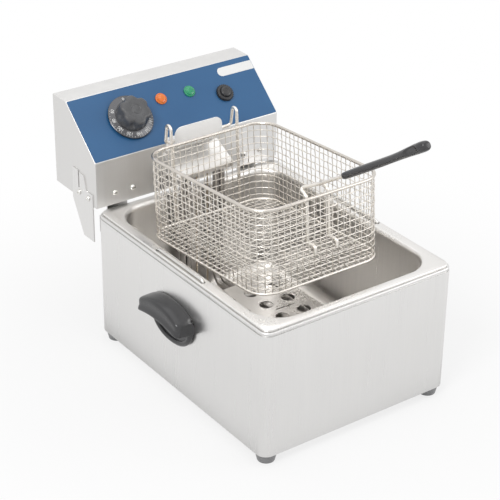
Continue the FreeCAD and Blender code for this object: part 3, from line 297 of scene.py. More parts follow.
def evaluated(obj):
    """The mesh that a scratch object shows. The object goes."""
    bpy.context.view_layer.update()
    mesh = bpy.data.meshes.new_from_object(obj.evaluated_get(bpy.context.evaluated_depsgraph_get()))
    bpy.data.objects.remove(obj)
    return mesh


def applied(mesh, kind, **settings):
    """A mesh after one modifier."""
    obj = in_scene("work", mesh)
    modifier = obj.modifiers.new(kind, kind)
    for key, value in settings.items():
        setattr(modifier, key, value)
    return evaluated(obj)


def subdivided(mesh):
    return applied(mesh, "SUBSURF", levels=1, render_levels=1)


def cut(mesh, cutter, **settings):
    """A mesh less the form in a bmesh, which is used up."""
    data = bpy.data.meshes.new("cutter")
    cutter.to_mesh(data)
    cutter.free()
    tool = in_scene("cutter", data)
    result = applied(mesh, "BOOLEAN", operation="DIFFERENCE", object=tool, solver="EXACT", **settings)
    bpy.data.objects.remove(tool)
    return result


def pins(places, radius, depth, segments):
    """A bmesh of round pins along the Z axes of the places, to cut holes with."""
    bm = bmesh.new()
    for place in places:
        bmesh.ops.create_cone(bm, cap_ends=True, segments=segments, radius1=radius * MM,
                              radius2=radius * MM, depth=depth * MM, matrix=place)
    return bm


def finished(name, mesh, mat, body, nodes=(), sharp=40.0):
    """A mesh as a named piece on its body, with smooth shading up to an angle in degrees."""
    mesh.materials.clear()
    mesh.materials.append(MATS[mat])
    mesh.shade_smooth()
    mesh.set_sharp_from_angle(angle=math.radians(sharp))
    obj = in_scene(name, mesh)
    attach(obj, body)
    if nodes:
        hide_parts(*nodes)
    return obj


def piece(name, verts, faces, mat, body, nodes=(), slot=None, sharp=40.0):
    """A form as a named piece."""
    return finished(name, mesh_of(name, (verts, faces)), mat, body, nodes, sharp)


def loft(rings, closed=False):
    """Faces between closed rings of equal count, with a cap at each end unless the rings close too."""
    count = len(rings[0])
    verts = [v for ring in rings for v in ring]
    faces = []
    for r in range(len(rings) if closed else len(rings) - 1):
        a, b = r * count, (r + 1) % len(rings) * count
        for i in range(count):
            j = (i + 1) % count
            faces.append([a + i, a + j, b + j, b + i])
    if not closed:
        faces.append(list(range(count)))
        faces.append([len(verts) - count + i for i in range(count)])
    return verts, faces


LEAST_RADIUS = 0.02
# A bend below this turn, in radians, stays a plain corner, and an arc takes at most this share of a run
LEAST_TURN, MOST_OF_RUN = 0.01, 0.49


def turned(profile, matrix, count, shape=None, hollow=False):
    """Turned form from (radius, height) points; shape(radius, height, turn) can change the radius."""
    rings = []
    for radius, height in profile:
        ring = []
        for i in range(count):
            turn = 2 * math.pi * i / count
            r = shape(radius, height, turn) if shape else max(radius, LEAST_RADIUS)
            ring.append(matrix @ Vector((r * math.cos(turn) * MM, r * math.sin(turn) * MM, height * MM)))
        rings.append(ring)
    return loft(rings, hollow)


def rounded(points, radii, steps=7):
    """Points of a bent wire: straight runs, and an arc of its own radius in millimetres at each corner."""
    points = [Vector(p) for p in points]
    out = [points[0]]
    for i in range(1, len(points) - 1):
        corner = points[i]
        before = points[i - 1] - corner
        after = points[i + 1] - corner
        turn = math.pi - before.angle(after)
        if turn < LEAST_TURN:
            out.append(corner)
            continue
        most = MOST_OF_RUN * min(before.length, after.length)
        reach = min(radii[i] * MM * math.tan(turn / 2), most)
        radius = reach / math.tan(turn / 2)
        before.normalize()
        after.normalize()
        middle = corner + (before + after).normalized() * (radius / math.cos(turn / 2))
        start = (corner + before * reach - middle).normalized()
        end = (corner + after * reach - middle).normalized()
        for s in range(steps + 1):
            out.append(middle + start.slerp(end, s / steps) * radius)
    return out + [points[-1]]


def tube(points, radius, sides=14, closed=False):
    """Round bar along points, its radius in millimetres, its frame carried along without twist."""
    count = len(points)
    ways = []
    for i in range(count):
        if closed:
            way = points[(i + 1) % count] - points[i - 1]
        else:
            way = points[min(i + 1, count - 1)] - points[max(i - 1, 0)]
        ways.append(way.normalized())
    side = ways[0].orthogonal().normalized()
    rings = []
    for point, way in zip(points, ways):
        side = (side - way * side.dot(way)).normalized()
        other = way.cross(side)
        ring = []
        for s in range(sides):
            turn = 2 * math.pi * s / sides
            ring.append(point + (side * math.cos(turn) + other * math.sin(turn)) * radius * MM)
        rings.append(ring)
    return loft(rings, closed)


def plan(width, length, radius, steps=12):
    """Rounded rectangle as (x, y) points, from the left end of its rear side round to the right end."""
    x, y = width / 2 - radius, length / 2 - radius
    out = []
    for cx, cy, start in ((-x, y, 90), (-x, -y, 180), (x, -y, 270), (x, y, 0)):
        for s in range(steps + 1):
            turn = math.radians(start + 90 * s / steps)
            out.append((cx + radius * math.cos(turn), cy + radius * math.sin(turn)))
    return out


def circle(x, y, radius, count=28):
    turns = [2 * math.pi * i / count for i in range(count)]
    return [(x + radius * math.cos(turn), y + radius * math.sin(turn)) for turn in turns]


def flat_plate(loops, thick, matrix):
    """Plate from closed loops of (x, y) points, the first its edge and the others its holes, on Z zero."""
    curve = bpy.data.curves.new("plate", "CURVE")
    curve.dimensions = "2D"
    curve.fill_mode = "BOTH"
    curve.extrude = thick / 2 * MM
    for loop in loops:
        spline = curve.splines.new("POLY")
        spline.points.add(len(loop) - 1)
        for point, (x, y) in zip(spline.points, loop):
            point.co = (x * MM, y * MM, 0, 1)
        spline.use_cyclic_u = True
    mesh = evaluated(in_scene("plate", curve))
    mesh.transform(matrix @ Matrix.Translation((0, 0, thick / 2 * MM)))
    return mesh


# Cabinet sheet: a section of (inset, level) up the outside and down the inside, with a groove under its rim

SHEET_SECTION = [(0.3, 12.5), (0, 12.9), (0, 166.2), (0.25, 166.65), (1.5, 166.8), (1.5, 167.9),
                 (0.7, 168.05), (0.5, 168.4), (0.5, 170.2), (0.9, 170.8), (1.6, 171.0), (4.6, 171.0),
                 (4.6, 170.0), (2.6, 170.0), (2.5, 169.5), (2.5, 166.0), (1.0, 165.6), (1.0, 12.5)]
rows = []
for inset, level in SHEET_SECTION:
    line = plan(CABINET_WIDE - 2 * inset, CABINET_LONG - 2 * inset, CABINET_CORNER - inset)
    line = [(-REAR_OPENING, line[0][1])] + line + [(REAR_OPENING, line[-1][1])]
    rows.append([at(x, y, level) for x, y in line])
piece("cabinet_sheet", *loft(list(zip(*rows))), "steel_sheet", "cabinet", ["cabinet_wrap"], sharp=50)

# Oil tank: level rings as (growth over a plan, corner, level), up outside, over the flange and down inside

BEND_RADIUS, BEND_LEVEL, BEND_STEPS = 15.0, 47.0, 6
BAIL_HOLE, DRILL_LONG = 3.0, 12.0
BEND_CORNER_SHARE = 0.6
FLOOR_ROW = (-170.0, 8.0)
TANK_OUTSIDE = [(2.4, 37.2, 100), (2.4, 37.2, 171.2), (4.0, 38.0, 172.6), (6.0, 38.5, 172.8)]
FLANGE_EDGE = [(-4.4, 8.8, 172.8), (-2.6, 8.9, 172.2), (-2.2, 8.9, 171.15), (-1.7, 9.1, 171.15),
               (-1.5, 9.2, 171.9), (-0.3, 9.8, 172.0), (0, 10.0, 172.3), (0, 10.0, 172.9), (-0.5, 9.9, 173.6),
               (-1.6, 9.6, 174.0)]
TANK_MOUTH = [(7.6, 39.4, 174.0), (5.4, 38.6, 173.7), (3.0, 37.4, 172.7), (1.0, 36.5, 170.6),
              (0, 36.0, 167.5), (0, 36.0, 110)]


def tank_floor(out):
    """Rows of the floor and its bend, on the skin that lies a distance out from the inner one."""
    radius = BEND_RADIUS + out
    rows = [(*FLOOR_ROW, BEND_LEVEL - radius)]
    for s in range(BEND_STEPS + 1):
        turn = math.radians(90 * s / BEND_STEPS)
        inset = radius * (1 - math.sin(turn)) - out
        corner = TANK_CORNER + out - BEND_CORNER_SHARE * (inset + out)
        rows.append((-2 * inset, corner, BEND_LEVEL - radius * math.cos(turn)))
    return rows


def level_rings(wide, long, rows):
    rings = []
    for growth, corner, level in rows:
        rings.append([at(x, y, level) for x, y in plan(wide + growth, long + growth, corner)])
    return rings


rings = level_rings(TANK_WIDE, TANK_LONG, tank_floor(TANK_SHEET) + TANK_OUTSIDE)
rings += level_rings(FLANGE_WIDE, FLANGE_LONG, FLANGE_EDGE)
rings += level_rings(TANK_WIDE, TANK_LONG, TANK_MOUTH + tank_floor(0.0)[::-1])
spots = [at(s * BAIL_X, y, FLANGE_MIDDLE) for s in ENDS for y in (BAIL_FRONT, BAIL_REAR)]
drills = pins([Matrix.Translation(spot) for spot in spots], BAIL_HOLE, DRILL_LONG, 20)
mesh = cut(mesh_of("tank_drawn", loft(rings)), drills)
tank = finished("tank_drawn", mesh, "tank_steel", "cabinet", ["oil_tank"], sharp=50)
tank.data.materials.append(MATS["flange_steel"])
for face in tank.data.polygons:
    if face.center.z > FLANGE_LOW * MM:
        face.material_index = 1

# Feet

FOOT_PROFILE = [(2.3, 6.0), (5, 6.0), (5, 0.6), (5.5, 0.0), (9.3, 0.0), (9.9, 0.3), (10.2, 1.0), (12.6, 11.2),
                (12.9, 12.0), (12.6, 12.5), (2.3, 12.5)]
for sx, side in SIDES:
    for sy, end in ((-1, "front"), (1, "rear")):
        form = turned(FOOT_PROFILE, Matrix.Translation(at(sx * FOOT_X, sy * FOOT_Y, 0)), 40)
        foot = "foot_%s_%s" % (end, side)
        piece("rubber_" + foot, *form, "foot_rubber", "cabinet", [foot])

# Cup handles: an arched visor with closed ends over a tray with a rounded bead

CUP_Y, CUP_HALF = 4.0, 41.8
# Levels of the visor's edge at the wall, its ridge and its lip, and how far each falls to the ends
CUP_LEVELS, CUP_FALLS, CUP_ARCH = (134.5, 133.5, 112.0), (11.5, 11.0, 6.0), 2.2
BEAD_X, BEAD_HALF, BEAD_DROP, BEAD_FULLNESS, BEAD_RADIUS, BEAD_STEPS = 135.3, 38.2, 30.8, 0.88, 3.6, 40
TRAY_CROWN = [(-36, 118), (-28, 124), (0, 128.5), (28, 124), (36, 118)]
TRAY_FACES = (132.0, 136.0)
FILL_FROM, FILL_OVER = 0.88, 0.05
ROUND_FROM, ROUND_OVER, ROUND_SHARE = 0.84, 0.16, 0.24
HALF_STATIONS = [0.0, 0.12, 0.24, 0.36, 0.48, 0.6, 0.72, 0.82, 0.88, 0.905, 0.93, 0.95, 0.97, 0.985, 0.995,
                 1.0]


def visor_section(u):
    """Closed section of (distance from the wall, level), at a share u of the visor's half length.

    The mouth fills up near the ends, and the last stretch shrinks to a round end.
    """
    fall = abs(u) ** CUP_ARCH
    wall, ridge, lip = [level - drop * fall for level, drop in zip(CUP_LEVELS, CUP_FALLS)]
    skin = [(-0.9, wall), (8, wall - 0.2), (16, ridge + 0.2), (20.6, ridge - 0.3), (22.9, ridge - 1.9),
            (23.2, ridge - 5.0), (22.9, ridge - 10), (23.1, lip + 7), (24.6, lip + 4), (25.0, lip + 1.4),
            (23.2, lip + 0.2)]
    mouth = [(20.6, lip + 2), (19.6, ridge - 10), (17.0, ridge - 5.4), (8, ridge - 4.4), (-0.9, wall - 5)]
    end = [(19, lip), (14, lip - 0.5), (9, lip - 1.5), (4, lip - 3), (-0.9, lip - 4)]
    fill = ramp(abs(u), FILL_FROM, FILL_OVER)
    for (ax, az), (bx, bz) in zip(mouth, end):
        skin.append((ax + (bx - ax) * fill, az + (bz - az) * fill))
    edge = ramp(abs(u), ROUND_FROM, ROUND_OVER)
    shrink = 1 - ROUND_SHARE * (1 - math.sqrt(1 - edge ** 2))
    middle = (wall + lip) / 2
    return [(out * shrink if out > 0 else out, middle + (z - middle) * shrink) for out, z in skin]


stations = [-u for u in reversed(HALF_STATIONS[1:])] + HALF_STATIONS
bead_line = []
for i in range(BEAD_STEPS + 1):
    turn = math.pi * i / BEAD_STEPS
    along = BEAD_HALF * blunt(math.cos(turn), BEAD_FULLNESS)
    down = BEAD_DROP * blunt(math.sin(turn), BEAD_FULLNESS)
    bead_line.append((CUP_Y + along, CUP_LEVELS[2] - down))
tray_line = bead_line + [(CUP_Y + y, z) for y, z in TRAY_CROWN]
for s, side in SIDES:
    rings = []
    for u in stations:
        rings.append([at(s * (CABINET_WALL + out), CUP_Y + CUP_HALF * u, z) for out, z in visor_section(u)])
    mesh = subdivided(mesh_of("visor", loft(rings)))
    finished("cup_pull_" + side, mesh, "black_plastic", "cabinet", ["side_handle_" + side], sharp=70)
    bead = tube([at(s * BEAD_X, y, z) for y, z in bead_line], BEAD_RADIUS)
    tray = loft([[at(s * x, y, z) for y, z in tray_line] for x in TRAY_FACES])
    piece("cup_bead_" + side, *join(bead, tray), "black_plastic", "cabinet", sharp=50)

# Tank bails

BAIL_DEEP, BAIL_TOE, BAIL_BEND = 34.0, 8.3, 3.6
low = BAIL_TOP - BAIL_DEEP
bail_line = [(BAIL_FRONT + BAIL_TOE, low), (BAIL_FRONT, low), (BAIL_FRONT, BAIL_TOP), (BAIL_REAR, BAIL_TOP),
             (BAIL_REAR, low), (BAIL_REAR - BAIL_TOE, low)]
for s, side in SIDES:
    path = rounded([at(s * BAIL_X, y, z) for y, z in bail_line], [BAIL_BEND] * len(bail_line))
    piece("bail_bar_" + side, *tube(path, FRAME_WIRE), "bail_wire", "bail_" + side, ["tank_bail_" + side],
          sharp=60)

# Screws

SCREW_PROFILE = [(0, -7.0), (1.7, -7.0), (2.0, -6.5), (2.0, 0.0), (3.3, 0.0), (3.6, 0.25), (3.55, 0.7),
                 (3.2, 1.4), (2.4, 2.05), (1.2, 2.35), (0, 2.4)]
CROSS_LONG, CROSS_WIDE, CROSS_LEVEL, CROSS_HIGH, CROSS_TAPER = 3.6, 0.8, 2.2, 2.2, 0.45
# Each screw is turned a little further than the one before, in radians
FIRST_TURN, TURN_STEP = 0.4, 1.1


def screw_form():
    """Dome head with a cross recess on a plain shank, about the Z axis."""
    mesh = mesh_of("screw", turned(SCREW_PROFILE, Matrix(), 24), weld=0.03 * MM)
    cross = bmesh.new()
    for wide, long in ((CROSS_LONG, CROSS_WIDE), (CROSS_WIDE, CROSS_LONG)):
        for v in bmesh.ops.create_cube(cross, size=1.0)["verts"]:
            share = CROSS_TAPER if v.co.z < 0 else 1.0
            height = CROSS_LEVEL + v.co.z * CROSS_HIGH
            v.co = Vector((v.co.x * wide * share, v.co.y * long * share, height)) * MM
    return form_of(cut(mesh, cross, use_self=True))


SCREW = screw_form()


def screws(name, node, body, spots):
    """One piece of screws; each spot is a place and the way its head points."""
    forms = []
    for i, (place, away) in enumerate(spots):
        aim = Vector((0, 0, 1)).rotation_difference(Vector(away)).to_matrix().to_4x4()
        turn = Matrix.Rotation(FIRST_TURN + TURN_STEP * i, 4, "Z")
        forms.append(placed(SCREW, Matrix.Translation(place) @ aim @ turn))
    piece(name, *join(*forms), "screw_steel", body, [node], sharp=35)


FRONT_SCREWS_X, FRONT_SCREWS_Z = (82, 107), 192.5
HANGER_SCREWS = (20, 165.9, 232.3)
CHEEK_FACE, CHEEK_SCREWS_Y, CHEEK_SCREWS_Z = 134.5, (184.8, 205.8), 185.5
BACK_SCREWS_X, BACK_SCREWS_Z = 127.5, (183.0, HEAD_TOP - 5.5)
FOOT_SCREWS_Z = 6.0
HANDLE_SCREWS_X, HANDLE_SCREWS_Y, HANDLE_SCREWS_Z = 130.7, (-28, 32), 121.5
FRONT, BACK, DOWN = (0, -1, 0), (0, 1, 0), (0, 0, -1)
spots = [(at(s * x, HEAD_FRONT, FRONT_SCREWS_Z), FRONT) for x in FRONT_SCREWS_X for s in ENDS]
spots += [(at(s * HANGER_SCREWS[0], *HANGER_SCREWS[1:]), FRONT) for s in ENDS]
spots += [(at(s * CHEEK_FACE, y, CHEEK_SCREWS_Z), (s, 0, 0)) for y in CHEEK_SCREWS_Y for s in ENDS]
screws("head_dome_screws", "head_screws", "control_head", spots)
spots = [(at(s * BACK_SCREWS_X, HEAD_BACK, z), BACK) for s in ENDS for z in BACK_SCREWS_Z]
screws("back_dome_screws", "back_cover_screws", "control_head", spots)
spots = [(at(sx * FOOT_X, sy * FOOT_Y, FOOT_SCREWS_Z), DOWN) for sx in ENDS for sy in ENDS]
screws("foot_dome_screws", "foot_screws", "cabinet", spots)
spots = [(at(s * HANDLE_SCREWS_X, y, HANDLE_SCREWS_Z), (-s, 0, 0)) for s in ENDS for y in HANDLE_SCREWS_Y]
screws("handle_dome_screws", "side_handle_screws", "cabinet", spots)

# Head shell: folded sheet, open at its back and below

HEAD_SHEET, FOLD_RADIUS = 1.0, 0.8
outline = [(HEAD_FRONT, HEAD_LOW), (HEAD_FRONT, HEAD_FOLD), (HEAD_RIDGE, HEAD_TOP), (HEAD_BACK, HEAD_TOP),
           (HEAD_BACK, HEAD_LOW)]
bm = bmesh.new()
left = [bm.verts.new(at(-HEAD_HALF, y, z)) for y, z in outline]
right = [bm.verts.new(at(HEAD_HALF, y, z)) for y, z in outline]
walls = []
for i in range(len(outline)):
    j = (i + 1) % len(outline)
    walls.append(bm.faces.new((left[i], left[j], right[j], right[i])))
bm.faces.new(left)
bm.faces.new(right[::-1])
bmesh.ops.recalc_face_normals(bm, faces=bm.faces)
bmesh.ops.delete(bm, geom=walls[3:], context="FACES_ONLY")
folds = [e for e in bm.edges if len(e.link_faces) == 2]
bmesh.ops.bevel(bm, geom=folds, offset=FOLD_RADIUS * MM, segments=4, profile=0.5, affect="EDGES",
                clamp_overlap=True)
mesh = bpy.data.meshes.new("head")
bm.to_mesh(mesh)
bm.free()
mesh = applied(mesh, "SOLIDIFY", thickness=HEAD_SHEET * MM, offset=-1.0)
finished("head_folded_shell", mesh, "head_steel", "control_head", ["head_shell"], sharp=35)

# Panel label with holes for the controls, and the bare plate on it

LABEL_WIDE, LABEL_HIGH, LABEL_CORNER = 264.4, 84.0, 1.6
SHAFT_HOLE, LAMP_HOLE, RESET_HOLE = 5.2, 5.7, 8.7
PLATE_LEFT, PLATE_RIGHT, PLATE_UP, PLATE_HALF, PLATE_CHAMFER = 85.0, 131.7, 71.5, 6.0, 0.5
PLATE_THICK = 0.2
middle_up = SLOPE_LONG / 2
loops = [plan(LABEL_WIDE, LABEL_HIGH, LABEL_CORNER, 6)]
for (x, up), radius in ((DIAL_SPOT, SHAFT_HOLE), (LAMP_SPOTS["orange"], LAMP_HOLE),
                        (LAMP_SPOTS["green"], LAMP_HOLE), (RESET_SPOT, RESET_HOLE)):
    loops.append(circle(x, up - middle_up, radius))
mesh = flat_plate(loops, LABEL_THICK, on_panel(0, middle_up))
finished("front_label", mesh, "panel_paint", "control_head", ["control_label"], sharp=30)

capsule = []
for degrees in range(90, 271, 12):
    turn = math.radians(degrees)
    capsule.append((PLATE_LEFT + PLATE_HALF * math.cos(turn), PLATE_UP + PLATE_HALF * math.sin(turn)))
inner = PLATE_HALF - PLATE_CHAMFER
capsule += [(PLATE_RIGHT - PLATE_CHAMFER, PLATE_UP - PLATE_HALF), (PLATE_RIGHT, PLATE_UP - inner),
            (PLATE_RIGHT, PLATE_UP + inner), (PLATE_RIGHT - PLATE_CHAMFER, PLATE_UP + PLATE_HALF)]
mesh = flat_plate([capsule], PLATE_THICK, on_panel(0, 0, LABEL_THICK))
finished("bare_plate", mesh, "print_white", "control_head", ())

# Knob with six scoops in its side

KNOB_PROFILE = [(9.0, 2.5), (9.0, 6.5), (20.3, 6.5), (20.5, 6.9), (20.5, 8.5), (20.4, 11), (20.3, 13.5),
                (20.2, 16), (20.0, 18.5), (19.8, 21), (19.3, 22.6), (18.2, 23.8), (16.2, 24.4), (13, 24.5),
                (10, 24.4), (7.2, 24.2), (6.4, 23.9), (5.9, 23.5), (5.4, 23.9), (4.6, 24.1), (2.4, 24.2),
                (0.3, 24.2)]
SCOOPS, SCOOP_DEEP = 6, 3.3
SCOOP_FROM, SCOOP_CLIMB, SCOOP_IN, SCOOP_FADE = 8.0, 8.0, 12.0, 4.0


def scooped(radius, height, turn):
    """Radius of the knob: the scoops begin above its foot and end before its top's middle."""
    climb = ramp(height, SCOOP_FROM, SCOOP_CLIMB)
    climb = climb * climb * (3 - 2 * climb) * ramp(radius, SCOOP_IN, SCOOP_FADE)
    return radius - SCOOP_DEEP * climb * (0.5 + 0.5 * math.cos(SCOOPS * turn)) ** 2


dial = on_panel(*DIAL_SPOT)
piece("knob_moulded", *turned(KNOB_PROFILE, dial, 96, scooped), "knob_plastic", "knob", ["thermostat_knob"],
      "black_plastic", sharp=50)

# Dial ring with its marks and numbers, which run against the knob's turn

RING_PROFILE = [(9.0, 2.5), (28.2, 2.5), (28.8, 2.8), (29.0, 3.4), (28.9, 4.2), (28.2, 4.7), (21.0, 6.4),
                (20.6, 6.5), (9.0, 6.5)]
CONE_RUN, CONE_RISE = 7.2, 1.7
MARK_COUNT, MARK_FIRST, MARK_STEP, MARKS_A_NUMBER = 29, -60, -7.5, 4
MARK_LONG, MARK_SHORT, MARK_HALF, MARK_OVER, MARK_LEVELS = 1.7, 1.0, 0.2, 0.5, (-0.2, 0.08)
MARK_RADIUS, MARK_HEIGHT = 27.3, 5.05
NUMBERS = ("0", "60", "80", "100", "120", "140", "160", "180", "190")
NUMBER_STEP, NUMBER_SIZE, NUMBER_RAISED, NUMBER_RADIUS, NUMBER_HEIGHT = -30, 5.4, 0.12, 24.0, 5.78


def on_cone(degrees, radius, height):
    """Matrix of a place on the dial's cone, clockwise from its top, its Y axis away from the middle."""
    turn = Matrix.Rotation(-math.radians(degrees), 4, "Z")
    slope = Matrix.Rotation(-math.atan2(CONE_RISE, CONE_RUN), 4, "X")
    return dial @ turn @ Matrix.Translation((0, radius * MM, height * MM)) @ slope


piece("dial_ring", *turned(RING_PROFILE, dial, 96), "dial_metal", "knob", ["dial_skirt"], sharp=40)
forms = []
for i in range(MARK_COUNT):
    low = MARK_OVER - (MARK_SHORT if i % MARKS_A_NUMBER else MARK_LONG)
    corners = [(-MARK_HALF, low), (MARK_HALF, low), (MARK_HALF, MARK_OVER), (-MARK_HALF, MARK_OVER)]
    bar = loft([[Vector((x, y, z)) * MM for x, y in corners] for z in MARK_LEVELS])
    forms.append(placed(bar, on_cone(MARK_FIRST + MARK_STEP * i, MARK_RADIUS, MARK_HEIGHT)))
piece("dial_marks", *join(*forms), "print_white", "knob", (), "dial_metal", sharp=20)
forms = []
for i, digits in enumerate(NUMBERS):
    text = bpy.data.curves.new("number", "FONT")
    text.body = digits
    text.size = NUMBER_SIZE * MM
    text.align_x = "CENTER"
    text.align_y = "CENTER"
    text.extrude = NUMBER_RAISED * MM
    degrees = NUMBER_STEP * (i + 1) if i else 0
    mesh = evaluated(in_scene("number", text))
    forms.append(placed(form_of(mesh), on_cone(degrees, NUMBER_RADIUS, NUMBER_HEIGHT)))
piece("dial_numbers", *join(*forms), "print_white", "knob", (), "dial_metal", sharp=20)

# Lamps: a turned collar under a lens cut in facets

COLLAR_PROFILE = [(0, -22), (5.4, -22), (5.4, 0.5), (7.2, 0.5), (7.5, 0.8), (7.5, 2.0), (7.1, 2.4),
                  (5.9, 2.5), (0, 2.5)]
LENS_PROFILE = [(0, 1.5), (6.2, 1.5), (6.2, 2.6), (5.5, 3.5), (4.0, 4.2), (2.2, 4.45), (0, 4.5)]
LENS_FACETS = 12
for name, spot in LAMP_SPOTS.items():
    collar = turned(COLLAR_PROFILE, on_panel(*spot), 40)
    cap = turned(LENS_PROFILE, on_panel(*spot), LENS_FACETS)
    piece("lamp_lens_" + name, *join(collar, cap), "lens_" + name, "control_head", ["lamp_" + name], sharp=14)

# Reset button in its ribbed collar

BEZEL_PROFILE = [(7.1, -6.4), (8.4, -6.4), (8.4, 0.5), (11.35, 0.5), (11.35, 3.4), (10.9, 4.1), (10.2, 4.5),
                 (7.6, 4.5), (7.1, 4.1)]
BUTTON_PROFILE = [(0, -2.4), (6.9, -2.4), (6.98, 5.6), (6.7, 6.6), (5.9, 7.4), (4.6, 7.8), (3.6, 7.75),
                  (2.8, 7.5), (0, 7.4)]
RIBS, RIB_SHARE, RIB_STEEPNESS, RIBBED_FROM = 24, 0.035, 4, 9.0


def ribbed(radius, height, turn):
    """Radius of the collar: grooves with steep sides in its outer part."""
    if radius <= RIBBED_FROM:
        return radius
    return radius * (1.0 + RIB_SHARE * math.tanh(RIB_STEEPNESS * math.cos(RIBS * turn)) - RIB_SHARE)


spot = on_panel(*RESET_SPOT)
piece("reset_collar", *turned(BEZEL_PROFILE, spot, 144, ribbed, hollow=True), "collar_plastic",
      "control_head", ["reset_bezel"], sharp=35)
piece("reset_cap", *turned(BUTTON_PROFILE, spot, 48), "black_plastic", "reset", ["reset_button"], sharp=40)

# Heating element: two loops, each as (riser's x, half width, front reach, rear reach)

ELEMENT_LOOPS = ((29.0, 80.0, 98.0, 104.0), (20.5, 54.0, 70.0, 86.0))
RISER_IN, RISER_Y, RISER_TOP, ELEMENT_LEVEL = 194.1, 141.0, 208.5, 42.5
ELEMENT_BEND, ELEMENT_RADIUS = 16.0, 4.0
forms = []
for riser, half, front, rear in ELEMENT_LOOPS:
    right = [(riser, RISER_IN, RISER_TOP), (riser, RISER_Y, RISER_TOP), (riser, RISER_Y, ELEMENT_LEVEL),
             (riser, rear, ELEMENT_LEVEL), (half, rear, ELEMENT_LEVEL), (half, -front, ELEMENT_LEVEL)]
    path = [at(*p) for p in right + mirrored(right)[::-1]]
    forms.append(tube(rounded(path, [ELEMENT_BEND] * len(path), 10), ELEMENT_RADIUS))
piece("element_tubes", *join(*forms), "element_metal", "control_head", ["heating_element"], sharp=60)

# Guard plate with round holes, slits and turned-down sides

GUARD_WIDE, GUARD_LONG, GUARD_CORNER, GUARD_LEVEL, GUARD_SHEET = 180.0, 220.0, 10.0, 46.5, 1.0
HOLE_PITCH, HOLE_RADIUS, HOLES_ACROSS, HOLES_ALONG = 33.0, 8.7, 5, 6
SLIT_X, SLIT_Y, SLIT_HALF, SLIT_HALF_WIDE = 1.5 * HOLE_PITCH, HOLE_PITCH, 14.0, 1.1
LIP_SECTION = [(90.0, 47.3), (90.0, 39.7), (89.7, 39.5), (89.2, 39.5), (89.0, 39.7), (89.0, 46.6)]
LIP_HALF = 100.0
loops = [plan(GUARD_WIDE, GUARD_LONG, GUARD_CORNER, 6)]
for c in range(HOLES_ACROSS):
    for r in range(HOLES_ALONG):
        x = (c - (HOLES_ACROSS - 1) / 2) * HOLE_PITCH
        loops.append(circle(x, (r - (HOLES_ALONG - 1) / 2) * HOLE_PITCH, HOLE_RADIUS, 32))
for sx in ENDS:
    for sy in ENDS:
        left, right = sx * SLIT_X - SLIT_HALF, sx * SLIT_X + SLIT_HALF
        low, high = sy * SLIT_Y - SLIT_HALF_WIDE, sy * SLIT_Y + SLIT_HALF_WIDE
        loops.append([(left, low), (right, low), (right, high), (left, high)])
forms = [form_of(flat_plate(loops, GUARD_SHEET, Matrix.Translation(at(0, 0, GUARD_LEVEL))))]
for s in ENDS:
    forms.append(loft([[at(s * x, y, z) for x, z in LIP_SECTION] for y in (-LIP_HALF, LIP_HALF)]))
piece("guard_sheet", *join(*forms), "flange_steel", "control_head", ["guard_plate"],
      slot=slot_of["guard_plate"], sharp=35)

# Cord gland on the back cover

GLAND_X, GLAND_LEVEL = 80.0, 205.5
GLAND_PROFILE = [(4.0, -8), (6.9, -8), (6.9, 0.0), (9.6, 0.0), (10.0, 0.4), (10.0, 3.1), (9.6, 3.5),
                 (8.9, 3.6), (8.6, 4.6), (9.2, 5.0), (9.0, 6.2), (8.0, 6.4), (7.8, 7.4), (8.3, 7.8),
                 (8.0, 9.0), (7.0, 9.6), (6.4, 10.0), (4.0, 10.0)]
gland = Matrix.Translation(at(GLAND_X, HEAD_BACK, GLAND_LEVEL)) @ Matrix.Rotation(math.radians(-90), 4, "X")
piece("gland_bush", *turned(GLAND_PROFILE, gland, 40, hollow=True), "gland_rubber", "control_head",
      ["cord_gland"])

# Basket net: crimped wires that pass over and under each other

UPRIGHTS, LEVEL_PITCH, LEVELS, HALF_PITCHES = 92, 8.5, 11, 24
FLOOR_ACROSS, FLOOR_ALONG, FLOOR_INSET = 26, 20, 0.8
CRIMP, NET_WIRE, NET_SIDES = 0.42, 0.60, 5
ARC = math.pi / 2 * CORNER
AROUND = 2 * (WIDE + LONG - 4 * CORNER) + 4 * ARC
STEP = AROUND / UPRIGHTS


def around(s):
    """Point and outward way on the basket's outline, s millimetres from the middle of its front."""
    across, along = WIDE / 2 - CORNER, LONG / 2 - CORNER
    s = (s + across) % AROUND
    for nx, ny, half, far in ((0, -1, across, LONG / 2), (1, 0, along, WIDE / 2),
                              (0, 1, across, LONG / 2), (-1, 0, along, WIDE / 2)):
        tx, ty = -ny, nx
        if s <= 2 * half:
            t = s - half
            return nx * far + tx * t, ny * far + ty * t, nx, ny
        s -= 2 * half
        if s <= ARC:
            turn = s / CORNER
            wx = nx * math.cos(turn) + tx * math.sin(turn)
            wy = ny * math.cos(turn) + ty * math.sin(turn)
            cx = nx * (far - CORNER) + tx * half
            cy = ny * (far - CORNER) + ty * half
            return cx + CORNER * wx, cy + CORNER * wy, wx, wy
        s -= ARC
    # Only rounding gets here, at the very end of the outline
    return -across, -LONG / 2, 0, -1


